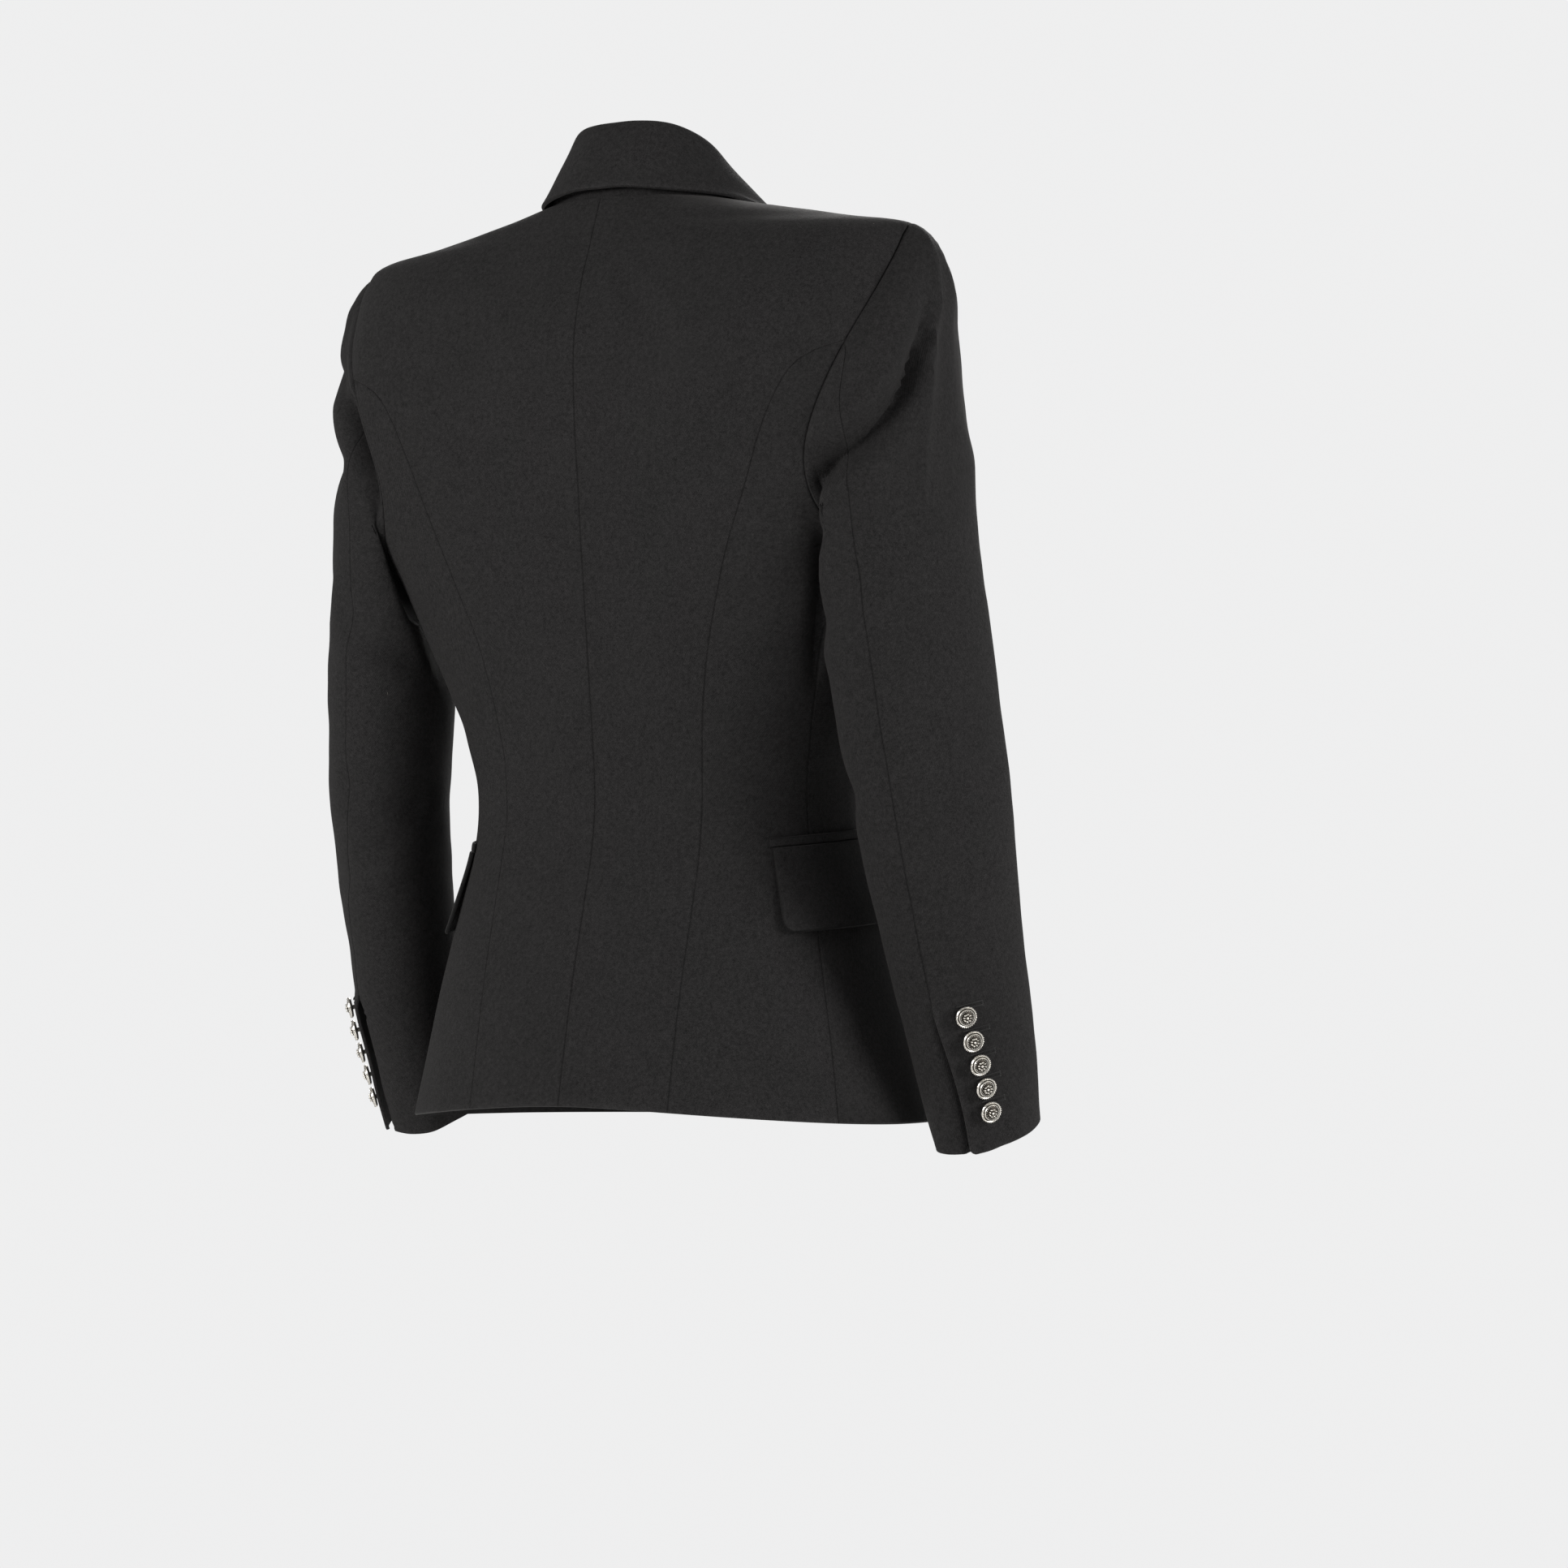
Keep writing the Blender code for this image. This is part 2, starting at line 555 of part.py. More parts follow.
def panel_row(start, end, height, columns, side, limit=None, cut=None, is_front=False):
    """Corners of one row between two angles.

    A limit is the angle where the armhole or the shoulder seam cuts the row short: of a back piece from
    its end, of a front piece from its start. The way out there is the cut.
    """
    row = []
    for column in range(columns + 1):
        angle = blend(start, end, column / columns)
        way = None
        if limit is not None:
            past = limit - angle if is_front else angle - limit
            if past > -SLIVER:
                angle, way = limit, cut
        lift = front_lift(side, height, body_point(angle, height).x) if is_front else 0.0
        row.append(body_corner(angle, height, side, lift, way))
    return row


def panels(side_name, wool):
    """Back, side back and front of one side, from hem to armhole and on to the shoulder."""
    side = 1 if side_name == "left" else -1
    body, hole, shoulder = panel_heights()
    seam_row = ARMHOLE_STEPS - 6
    under_arm = SIDE_SEAM[-1].angle
    back, side_back, front = [], [], []
    for height in body:
        seam, side_seam = back_seam_angle(height), smooth_value(SIDE_SEAM, height, "angle")
        back.append(panel_row(0, seam, height, BACK_COLUMNS, side))
        side_back.append(panel_row(seam, side_seam, height, SIDE_COLUMNS, side))
        front.append(panel_row(side_seam, front_edge_angle(height), height, FRONT_COLUMNS, side,
                               is_front=True))
    for row, height in enumerate(hole):
        step = ARMHOLE_STEPS - row
        limit, cut = armhole(step)[0], armhole_mitre(step)
        if row < seam_row:
            seam = back_seam_angle(height)
            back.append(panel_row(0, seam, height, BACK_COLUMNS, side))
            side_back.append(panel_row(seam, under_arm, height, SIDE_COLUMNS, side, limit, cut))
        else:
            back.append(panel_row(0, limit, height, BACK_COLUMNS, side, limit, cut))
        if row == seam_row:
            side_back.append(panel_row(limit, limit, height, SIDE_COLUMNS, side, limit, cut))
        limit, cut = armhole(ARMHOLE_STEPS + row)[0], armhole_mitre(ARMHOLE_STEPS + row)
        front.append(panel_row(under_arm, front_edge_angle(height), height, FRONT_COLUMNS, side,
                               limit, cut, is_front=True))
    for height in shoulder:
        back.append(panel_row(0, 90, height, BACK_COLUMNS, side))
        front.append(panel_row(under_arm, front_edge_angle(height), height, FRONT_COLUMNS, side, 90.0,
                               is_front=True))
    cloth_wall("back_" + side_name, back, CLOTH, wool)
    cloth_wall("side_back_" + side_name, side_back, CLOTH, wool)
    cloth_wall("front_" + side_name, front, CLOTH, wool)


def arm_down(height):
    """How far down the sleeve a height of the arm lies, for sleeve_base."""
    return 1 + (height - ARM_TOP) / (ARM_END - ARM_TOP)


def sleeve_rows(side_name):
    """How far down each ring of the sleeve lies, closer together where the cloth creases."""
    cap = [(row / CAP_ROWS) ** 0.9 for row in range(CAP_ROWS + 1)]
    return cap + [arm_down(height) for height in ARM_HEIGHTS + (SLEEVE_END[side_name],)]


def sleeve(side_name, wool):
    """Upper and under sleeve; below the vent's top the upper one laps over the under one."""
    vent_down = arm_down(VENT_HEIGHT)
    upper, under = [], []
    for down in sleeve_rows(side_name):
        open_vent = smooth_step(down, vent_down, vent_down + 0.03)
        upper_row = []
        for step in range(FRONT_SEAM_STEP - RING_STEPS, BACK_SEAM_STEP + 1):
            near = smooth_step(step, BACK_SEAM_STEP - 3.2, BACK_SEAM_STEP - 1.0)
            upper_row.append(sleeve_corner(side_name, step, down, VENT_LIFT * near * open_vent))
        upper.append(upper_row)
        under_row = [sleeve_corner(side_name, BACK_SEAM_STEP - 1, down) if open_vent == 1 else None]
        for step in range(BACK_SEAM_STEP, FRONT_SEAM_STEP + 1):
            under_row.append(sleeve_corner(side_name, step, down))
        under.append(under_row)
    cloth_wall("upper_sleeve_" + side_name, upper, CLOTH, wool)
    cloth_wall("under_sleeve_" + side_name, under, CLOTH, wool)


def ribbon_row(points, hint):
    """Turn the points of one rib into corners whose way out is square to the rib and to the hint."""
    row = []
    for place_in_rib, point in enumerate(points):
        before, after = points[max(place_in_rib - 1, 0)], points[min(place_in_rib + 1, len(points) - 1)]
        row.append((point, hint.cross(after - before).normalized()))
    return row


def collar_ribs():
    """The collar's ribs from the wearer's right front end, round the back, to the left front end."""
    return [(rib, -1) for rib in reversed(COLLAR[1:])] + [(rib, 1) for rib in COLLAR]


def collar(wool):
    """The stand inside the neck, and the fall that turns over it and lies on the shoulders."""
    ribs = collar_ribs()
    rolls = [Vector((rib.roll_x * side, rib.roll_y, rib.roll_z)) for rib, side in ribs]
    edges = [Vector((rib.edge_x * side, rib.edge_y, rib.edge_z)) for rib, side in ribs]
    fall, stand = [], []
    last = len(ribs) - 1
    for number, (rib, side) in enumerate(ribs):
        roll, edge = rolls[number], edges[number]
        along = (rolls[min(number + 1, last)] - rolls[max(number - 1, 0)]).normalized()
        down = (edge - roll).normalized()
        out = along.cross(down).normalized()
        if out.z + out.y * 0.2 < 0:
            out = -out
        length = (edge - roll).length
        level = (down - Vector((0, 0, 1)) * down.z).normalized()
        turn = [roll - level * inside + Vector((0, 0, -below)) for inside, below in COLLAR_TURN]
        leaf = [roll + down * (length * share) + out * (rib.swell * math.sin(math.pi * share ** 0.6))
                for share in FALL_SHARES]
        leaf = [off_body(point, side, FALL_LIFT) for point in leaf]
        fall.append(ribbon_row(turn + leaf, along))
        seat = neck_seat(rib, side)
        top = turn[0] + Vector((0, 0, -SEAM_GAP))
        band = ribbon_row([top] + [top.lerp(seat, share) for share in STAND_SHARES] + [seat], along * -1)
        stand.append([(top, fall[-1][0][1])] + band[1:])
    cloth_wall("collar_fall", fall, COLLAR_CLOTH, wool)
    cloth_wall("collar_stand", stand[1:-1], CLOTH, wool)


def off_body(point, side, lift):
    """Move a point out until it lies at least a lift above the body's surface."""
    if point.z > lift:
        return point
    own = place(point, side)
    level = min(own.z, 0.0)
    angle = math.degrees(math.atan2(own.x, own.y - smooth_value(BODY, level, "side")))
    way = body_normal(angle, level)
    height = (own - body_point(angle, level)).dot(way)
    return place(own + way * max(lift - height, 0.0), side)


def neck_seat(rib, side):
    """Where the stand meets the neckline under a rib, just inside the panels' edge."""
    turn = math.degrees(math.atan2(rib.roll_x, rib.roll_y + 0.004))
    if rib.roll_y > -0.006:
        point = body_point(min(turn, 90.0), 0.0)
    else:
        height = max(-0.9 * (0.0385 - rib.roll_z), GORGE_HEIGHT + 0.004)
        point = body_point(angle_across(height, smooth_value(FRONT_EDGE, height, "across")), height)
    inward = Vector((point.x, point.y + 0.01, 0)).normalized() * SEAT_INSIDE
    return place(point - inward, side)


def lapel(side_name, wool):
    """The turned back top of a front, rolled softly along its inner edge."""
    side = 1 if side_name == "left" else -1
    rows = []
    for entry in LAPEL:
        flat = 0.62 + 0.38 * smooth_step(entry.roll_height, -0.32, -0.27)
        roll = smooth_value(FRONT_EDGE, entry.roll_height, "across")
        points = []
        for beyond, height in LAPEL_TURN:
            points.append(front_corner(side, entry.roll_height, roll + beyond * flat, height * flat)[0])
        width = entry.edge_x - roll
        for share in LAPEL_SHARES:
            level = blend(entry.roll_height, entry.edge_height, share)
            over = LAPEL_LIFT + LAPEL_ROLL_LIFT * flat * (1 - smooth_step(share, 0.0, 0.8))
            points.append(front_corner(side, level, roll + width * share, over)[0])
        rows.append(points)
    corners = []
    for number, points in enumerate(rows):
        up = (rows[min(number + 1, len(rows) - 1)][4] - rows[max(number - 1, 0)][4]).normalized()
        corners.append(ribbon_row(points, up * side))
    cloth_wall("lapel_" + side_name, corners, CLOTH, wool)


# Hip pockets: the flap's back upper corner, its length, height and rise towards the front.
POCKET_ANGLE = 60.0
POCKET_HEIGHT = -0.4285
FLAP_LENGTH = 0.128
FLAP_DEPTH = 0.0545
FLAP_RISE = 0.011
FLAP_CORNER = 0.012
FLAP_ROWS = (0.0, 0.35, 0.75, 0.92, 1.0)
FLAP_LIFT = CLOTH + 0.0011
FLAP_HANG = 0.0024
WELT_DEPTH = 0.0065
WELT_CLOTH = 0.0014
WELT_LIFT = WELT_CLOTH + 0.0009
HIP_RADIUS = 0.150
POCKET_COLUMNS = 9


def hip_row(side, start_share, end_share, drop, lift):
    """A row of corners along the hip pocket, between two shares of its length."""
    span = math.degrees(FLAP_LENGTH / HIP_RADIUS)
    row = []
    for column in range(POCKET_COLUMNS + 1):
        share = blend(start_share, end_share, column / POCKET_COLUMNS)
        height = POCKET_HEIGHT + FLAP_RISE * share - drop
        row.append(body_corner(POCKET_ANGLE + span * share, height, side, lift))
    return row


def pocket(side_name, wool):
    """A flap hanging from under a narrow welt, both lying on the side back and the front."""
    side = 1 if side_name == "left" else -1
    welt = [hip_row(side, -0.015, 1.015, drop, WELT_LIFT) for drop in (-WELT_DEPTH, -SEAM_GAP)]
    cloth_wall("pocket_welt_" + side_name, welt[::-1], WELT_CLOTH, wool)
    flap = []
    for share in FLAP_ROWS:
        past = max(share * FLAP_DEPTH - (FLAP_DEPTH - FLAP_CORNER), 0.0)
        pulled = FLAP_CORNER - math.sqrt(max(FLAP_CORNER ** 2 - past ** 2, 0.0))
        pulled = min(pulled, 0.75 * FLAP_CORNER) / FLAP_LENGTH
        flap.append(hip_row(side, pulled, 1 - pulled, share * FLAP_DEPTH, FLAP_LIFT + FLAP_HANG * share))
    cloth_wall("pocket_flap_" + side_name, flap, CLOTH, wool)


def button(name, seat, way_out, diameter, silver):
    """A domed button on its shank, turned about the way out of the cloth."""
    radius = diameter / 2
    profile = ((0.0016, SEAM_GAP), (0.0016, 0.0022), (radius * 0.88, 0.0026), (radius, 0.0036),
               (radius * 0.90, 0.0048), (radius * 0.66, 0.0060), (radius * 0.34, 0.0070))
    sides = BUTTON_SIDES
    one = way_out.orthogonal().normalized()
    other = way_out.cross(one)
    points = [seat + way_out * profile[0][1]]
    for reach, height in profile:
        for turn in range(sides):
            angle = 2 * math.pi * turn / sides
            points.append(seat + way_out * height + (one * math.cos(angle) + other * math.sin(angle)) * reach)
    points.append(seat + way_out * 0.0073)
    faces = []
    for turn in range(sides):
        after = (turn + 1) % sides
        faces.append([0, 1 + after, 1 + turn])
        for ring in range(len(profile) - 1):
            base = 1 + ring * sides
            faces.append([base + turn, base + after, base + sides + after, base + sides + turn])
        top = 1 + (len(profile) - 1) * sides
        faces.append([top + turn, top + after, len(points) - 1])
    add_solid(name, points, faces, silver)


def cuff_buttons(side_name, silver):
    """A row of buttons beside the vent, from the top down."""
    for number in range(CUFF_BUTTONS):
        down = arm_down(blend(CUFF_BUTTON_TOP, CUFF_BUTTON_LOW, number / (CUFF_BUTTONS - 1)))
        seat, way_out = sleeve_corner(side_name, CUFF_BUTTON_STEP, down, VENT_SEAT)
        button("cuff_button_{}_{}".format(side_name, number + 1), seat, way_out, CUFF_BUTTON, silver)


def front_buttons(silver):
    """Buttons on the centre front, on the right front, which is the upper one."""
    for number, row in enumerate(FRONT_BUTTON_ROWS):
        seat, way_out = front_corner(-1, panel_heights()[0][row], 0.0, SEAM_GAP)
        button("front_button_{}".format(number + 1), seat, way_out, FRONT_BUTTON, silver)


for old in list(bpy.data.objects):
    bpy.data.objects.remove(old)
black_wool = material("black_wool", (0.012, 0.012, 0.013), 0.85, 0.0)
old_silver = material("old_silver", (0.62, 0.60, 0.56), 0.35, 1.0)
for name in ("left", "right"):
    panels(name, black_wool)
    sleeve(name, black_wool)
    lapel(name, black_wool)
    pocket(name, black_wool)
    cuff_buttons(name, old_silver)
collar(black_wool)
front_buttons(old_silver)
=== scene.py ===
import math
from collections import namedtuple
from functools import partial

import bmesh
import bpy
import numpy as np
from mathutils import Matrix, Vector


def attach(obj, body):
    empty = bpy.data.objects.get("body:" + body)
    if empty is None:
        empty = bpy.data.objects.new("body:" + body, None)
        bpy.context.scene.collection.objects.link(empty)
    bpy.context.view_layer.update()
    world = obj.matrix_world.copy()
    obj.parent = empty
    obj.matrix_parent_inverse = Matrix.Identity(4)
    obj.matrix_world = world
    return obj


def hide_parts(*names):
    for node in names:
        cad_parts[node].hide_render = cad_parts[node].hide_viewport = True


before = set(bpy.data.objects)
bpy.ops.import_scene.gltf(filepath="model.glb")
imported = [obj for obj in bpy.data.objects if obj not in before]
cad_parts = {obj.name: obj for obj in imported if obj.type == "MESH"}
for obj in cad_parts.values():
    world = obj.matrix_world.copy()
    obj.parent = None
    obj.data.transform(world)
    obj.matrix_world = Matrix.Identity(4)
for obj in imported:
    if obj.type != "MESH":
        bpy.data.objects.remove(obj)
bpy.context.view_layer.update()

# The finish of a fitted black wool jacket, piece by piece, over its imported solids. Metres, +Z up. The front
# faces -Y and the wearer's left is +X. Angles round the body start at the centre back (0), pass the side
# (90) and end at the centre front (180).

# Back. Two long pieces of black worsted twill, narrow at the waist, sewn together down the centre back
# with the seam pressed open, and bounded by the shoulder seam, the armhole and the curved back seam.
SIDES = (("left", 1), ("right", -1))
CLOTH = 0.0020
HEM_HEIGHT = -0.595
HEM_DROP = 0.0115
WAIST_HEIGHT = -0.385
ARMHOLE_BOTTOM = -0.238
ARMHOLE_TOP = -0.026
ARMHOLE_STEPS = 14
ARMHOLE_CENTRE = 80.0
ARMHOLE_BACK = 20.0
ARMHOLE_BACK_SKEW = 0.60
ARMHOLE_FRONT = 19.0
ARMHOLE_FRONT_SKEW = 0.30
SEAM_STEP = 6
BACK_POINTS = 34
SHOULDER_ROWS = 34
POINT_SPACING = 0.0040
SEAM_MEETING = -0.00006
# An offset added to each distance from a seam, so the painted seam shade stops short of its darkest.
SEAM_SHADE_OFFSET = 0.0006
SEAM_DEPTH = 0.00060
SEAM_HALF_WIDTH = 0.0009
ALLOWANCE_STEP = 0.00022
ALLOWANCE_EDGE = (0.0070, 0.0085)
FOLD_RADIUS = 0.0010
# How far wear, and the painted sheen with it, reach in from a folded edge.
WEAR_AND_SHEEN_WIDTH = 0.0020
EDGE_STEPS = np.array((SEAM_MEETING, 0.0005, 0.0011, 0.0020, 0.0036, 0.0060))
BODY_RADIUS = 0.15
BODY_RIPPLES = ((0.00042, 0.095, 3), (0.00010, 0.034, 5))
RIPPLE_WAVES = 9
STILL_WIDTH = 0.020
CREASE_START = (-0.10, 0.18)
CREASE_END = (0.75, 1.12)
CREASE_SPREAD = 0.72
CREASE_POWER = 1.35
MERGE_DISTANCE = 1e-5
SHARP_ANGLE = math.radians(50)
WOOL_COLOUR = (0.0145, 0.0139, 0.0141)
LINT_COLOUR = (0.30, 0.28, 0.26)
LINT_COVER = 0.35


def table(columns, *rows):
    """Rows of values under named columns."""
    kind = namedtuple("Row", columns)
    return [kind(*row) for row in rows]


# Level sections of the body: half width, where the side lies, the centre back and the centre front, and
# how square the back and the front of the section are (2 is an ellipse).
BODY = table(
    "height half_width side back front back_power front_power",
    (-0.600, 0.184, -0.027, 0.110, -0.160, 2.1, 2.3),
    (-0.555, 0.1718, -0.028, 0.101, -0.156, 2.2, 2.3),
    (-0.510, 0.160, -0.028, 0.091, -0.150, 2.3, 2.3),
    (-0.465, 0.1475, -0.029, 0.079, -0.142, 2.4, 2.3),
    (-0.430, 0.1380, -0.029, 0.070, -0.133, 2.5, 2.3),
    (-0.400, 0.1350, -0.029, 0.066, -0.126, 2.5, 2.3),
    (-0.375, 0.1375, -0.029, 0.067, -0.124, 2.5, 2.3),
    (-0.328, 0.1525, -0.028, 0.072, -0.130, 2.6, 2.3),
    (-0.276, 0.1710, -0.026, 0.078, -0.141, 3.2, 2.3),
    (-0.229, 0.1850, -0.023, 0.083, -0.143, 4.4, 2.3),
    (-0.195, 0.1950, -0.020, 0.086, -0.135, 5.0, 2.3),
    (-0.150, 0.2070, -0.012, 0.091, -0.119, 4.8, 2.4),
    (-0.100, 0.2120, 0.000, 0.092, -0.098, 4.2, 2.5),
    (-0.060, 0.2120, 0.006, 0.083, -0.074, 3.6, 2.4),
    (-0.037, 0.2100, 0.009, 0.074, -0.056, 2.9, 2.2),
    (-0.026, 0.2040, 0.010, 0.070, -0.046, 2.1, 2.0),
    (-0.0195, 0.1700, 0.009, 0.0675, -0.040, 1.9, 1.9),
    (-0.013, 0.1370, 0.007, 0.065, -0.034, 1.95, 1.9),
    (-0.0065, 0.1030, 0.004, 0.0625, -0.027, 2.0, 1.9),
    (0.000, 0.0735, 0.000, 0.060, -0.020, 2.1, 1.9),
)

# Half widths of the back at the curved seam, from hem to armhole.
BACK_SEAM = table(
    "height across",
    (-0.600, 0.0765),
    (-0.520, 0.0768),
    (-0.445, 0.0772),
    (-0.385, 0.0768),
    (-0.345, 0.0800),
    (-0.300, 0.0885),
    (-0.250, 0.1045),
    (-0.200, 0.1245),
    (-0.163, 0.1390),
    (-0.135, 0.1530),
    (-0.120, 0.1660),
    (-0.1084, 0.1890),
)

# Creases: where each starts and ends (turn from straight back, left above zero, and height), how far its
# path bows, its half width, its depth (a ridge is below zero) and how round its bottom is.
CREASE = "start_turn start_height end_turn end_height bow width depth round"
BODY_CREASES = table(
    CREASE,
    (-20, -0.050, -40, -0.108, 0.004, 0.012, 0.0020, 0.005),
    (-36, -0.046, -52, -0.092, 0.003, 0.010, 0.0017, 0.005),
    (-28, -0.050, -46, -0.104, 0.003, 0.009, -0.0011, 0.005),
    (-44, -0.060, -60, -0.118, 0.003, 0.010, -0.0013, 0.005),
    (22, -0.055, 46, -0.112, -0.005, 0.013, 0.0015, 0.005),
    (10, -0.062, 34, -0.118, -0.004, 0.011, -0.0009, 0.005),
    (-66, -0.236, -44, -0.292, 0.006, 0.013, 0.0016, 0.006),
    (-68, -0.205, -38, -0.236, 0.004, 0.016, -0.0010, 0.008),
    (66, -0.232, 42, -0.300, -0.006, 0.015, 0.0014, 0.006),
    (-12, -0.362, -66, -0.384, 0.006, 0.010, 0.0009, 0.005),
    (-24, -0.338, -62, -0.350, 0.004, 0.009, -0.0006, 0.005),
    (14, -0.366, 62, -0.378, -0.005, 0.011, 0.0009, 0.005),
    (-6, -0.402, -40, -0.412, 0.002, 0.010, 0.0006, 0.005),
    (8, -0.400, 52, -0.414, -0.003, 0.011, 0.0007, 0.005),
    (-88, -0.300, -60, -0.352, 0.006, 0.011, 0.0011, 0.005),
    (-62, -0.184, -69.5, -0.322, 0.000, 0.0060, 0.0085, 0.0006),
    (92, -0.296, 62, -0.350, -0.006, 0.011, 0.0012, 0.005),
    (-118, -0.250, -98, -0.330, 0.006, 0.012, 0.0012, 0.006),
    (116, -0.246, 98, -0.322, -0.005, 0.013, 0.0013, 0.006),
    (168, -0.352, 118, -0.322, 0.005, 0.010, 0.0009, 0.004),
    (-168, -0.352, -122, -0.326, 0.005, 0.010, 0.0010, 0.004),
    (166, -0.364, 112, -0.392, -0.004, 0.009, 0.0007, 0.004),
    (-166, -0.366, -108, -0.398, -0.004, 0.010, 0.0008, 0.004),
)


def smooth_column(rows, column, keys):
    """Read a column of a table at keys between its rows, on a smooth curve through them."""
    places = np.array([row[0] for row in rows])
    values = np.array([getattr(row, column) for row in rows])
    before = np.maximum(np.arange(len(rows)) - 1, 0)
    after = np.minimum(np.arange(len(rows)) + 1, len(rows) - 1)
    slopes = (values[after] - values[before]) / (places[after] - places[before])
    keys = np.asarray(keys, float)
    low = np.clip(np.searchsorted(places, keys) - 1, 0, len(rows) - 2)
    span = places[low + 1] - places[low]
    share = (keys - places[low]) / span
    inside = np.clip(share, 0.0, 1.0)
    curve = (values[low] * (2 * inside ** 3 - 3 * inside ** 2 + 1)
             + slopes[low] * span * (inside ** 3 - 2 * inside ** 2 + inside)
             + values[low + 1] * (3 * inside ** 2 - 2 * inside ** 3)
             + slopes[low + 1] * span * (inside ** 3 - inside ** 2))
    return curve + (values[low + 1] - values[low]) * (share - inside)


def smooth_step(value, low, high):
    """Rise smoothly from 0 at low to 1 at high."""
    share = np.clip((value - low) / (high - low), 0.0, 1.0)
    return share * share * (3 - 2 * share)


def unit(vectors):
    return vectors / np.maximum(np.linalg.norm(vectors, axis=-1, keepdims=True), 1e-12)


def lengths_along(points, axis=0):
    """Distance of each point of a line, or of a grid's rows or columns, from the first."""
    steps = np.linalg.norm(np.diff(points, axis=axis), axis=-1)
    return np.concatenate((np.zeros_like(np.take(steps, [0], axis)), np.cumsum(steps, axis=axis)), axis)


def section(height, behind):
    """Half width, middle, signed depth and squareness of a section's back or front half."""
    side = smooth_column(BODY, "side", height)
    end, power = (np.where(behind, smooth_column(BODY, "back" + kind, height),
                           smooth_column(BODY, "front" + kind, height)) for kind in ("", "_power"))
    return smooth_column(BODY, "half_width", height), side, end - side, power


def section_depth(height, across, behind):
    """The depth, from its middle, at which a section lies a given distance from the centre line."""
    half_width, side, depth, power = section(height, behind)
    inside = np.maximum(1 - np.minimum(np.abs(across) / half_width, 1.0) ** power, 0.0)
    return depth * inside ** (1 / power)


def body_surface(angle, height):
    """Points of the body's outer surface on the left half."""
    angle, height = np.broadcast_arrays(np.asarray(angle, float), np.asarray(height, float))
    sine, cosine = np.sin(np.radians(angle)), np.cos(np.radians(angle))
    half_width, side, depth, power = section(height, cosine > 0)
    reach = (np.abs(sine / half_width) ** power + np.abs(cosine / depth) ** power) ** (-1 / power)
    low = np.maximum(WAIST_HEIGHT - height, 0.0) / (WAIST_HEIGHT - HEM_HEIGHT)
    drop = HEM_DROP * low ** 2 * smooth_step(angle, 0.0, 90.0)
    return np.stack((reach * sine, side + reach * cosine, height - drop), axis=-1)


def body_way(angle, height):
    """The outward direction of the body's surface on the left half."""
    angle, height = np.broadcast_arrays(np.asarray(angle, float), np.asarray(height, float))
    high = np.where(height > -0.002, height, height + 0.001)
    around = body_surface(angle + 0.5, height) - body_surface(angle - 0.5, height)
    upward = body_surface(angle, high) - body_surface(angle, high - 0.002)
    return unit(np.cross(upward, around))


def back_seam_angle(height):
    """The angle of the curved back seam."""
    across = smooth_column(BACK_SEAM, "across", height)
    return np.degrees(np.arctan2(across, section_depth(height, across, True)))


def armhole(step):
    """Angle and height of the armhole: step 0 is its top, 14 its bottom, 28 the top again, by the front."""
    step = np.asarray(step, float)
    turn = math.pi * np.abs(ARMHOLE_STEPS - step) / ARMHOLE_STEPS
    middle, half = (ARMHOLE_TOP + ARMHOLE_BOTTOM) / 2, (ARMHOLE_TOP - ARMHOLE_BOTTOM) / 2
    centre = ARMHOLE_CENTRE + (90.0 - ARMHOLE_CENTRE) * (1 - np.cos(turn)) / 2
    back = centre - ARMHOLE_BACK * np.sin(turn) * (1 + ARMHOLE_BACK_SKEW * np.cos(turn))
    front = centre + ARMHOLE_FRONT * np.sin(turn) * (1 + ARMHOLE_FRONT_SKEW * np.cos(turn))
    return np.where(step <= ARMHOLE_STEPS, back, front), middle - half * np.cos(turn)


def crease_depth(creases, turn, height, around):
    """How far creases press the cloth in, at turns in degrees round a form of a given radius."""
    turn = (turn + 180.0) % 360.0 - 180.0
    total = np.zeros(np.broadcast(turn, height).shape)
    for crease in creases:
        start = np.array((math.radians(crease.start_turn) * around, crease.start_height))
        path = np.array((math.radians(crease.end_turn) * around, crease.end_height)) - start
        aside, above = np.radians(turn) * around - start[0], height - start[1]
        share = (aside * path[0] + above * path[1]) / (path @ path)
        across = (aside * path[1] - above * path[0]) / math.hypot(*path)
        bowed = across - crease.bow * 4 * share * (1 - share)
        fade = smooth_step(share, *CREASE_START) * (1 - smooth_step(share, *CREASE_END))
        soft = np.sqrt(bowed ** 2 + crease.round ** 2) - crease.round
        total += crease.depth * fade * np.exp(-(soft / (crease.width * CREASE_SPREAD)) ** CREASE_POWER)
    return total


def unevenness(points, ripples):
    """A soft, uneven rise and fall: the sum of ripples, each with a height, a length and a seed."""
    rise = 0.0
    for height, length, seed in ripples:
        chance = np.random.default_rng(seed)
        total = np.zeros(points.shape[:-1])
        for wave in range(RIPPLE_WAVES):
            way = unit(chance.normal(size=3))
            total += np.sin(points @ way * (2 * math.pi / length * chance.uniform(0.6, 1.5))
                            + chance.uniform(0.0, 2 * math.pi))
        rise = rise + height * (total / 4.0)
    return rise


def body_relief(side, angle, height):
    """How far the worn cloth of the body rises above its plain form; it lies still beside the armhole."""
    points = body_surface(angle, height) * (side, 1, 1)
    edge = body_surface(*armhole(np.linspace(0, 2 * ARMHOLE_STEPS, 57))) * (side, 1, 1)
    apart = np.linalg.norm(points[..., None, :] - edge, axis=-1).min(axis=-1)
    creases = crease_depth(BODY_CREASES, angle * side, height, BODY_RADIUS)
    return smooth_step(apart, 0.0, STILL_WIDTH) * (unevenness(points, BODY_RIPPLES) - creases)


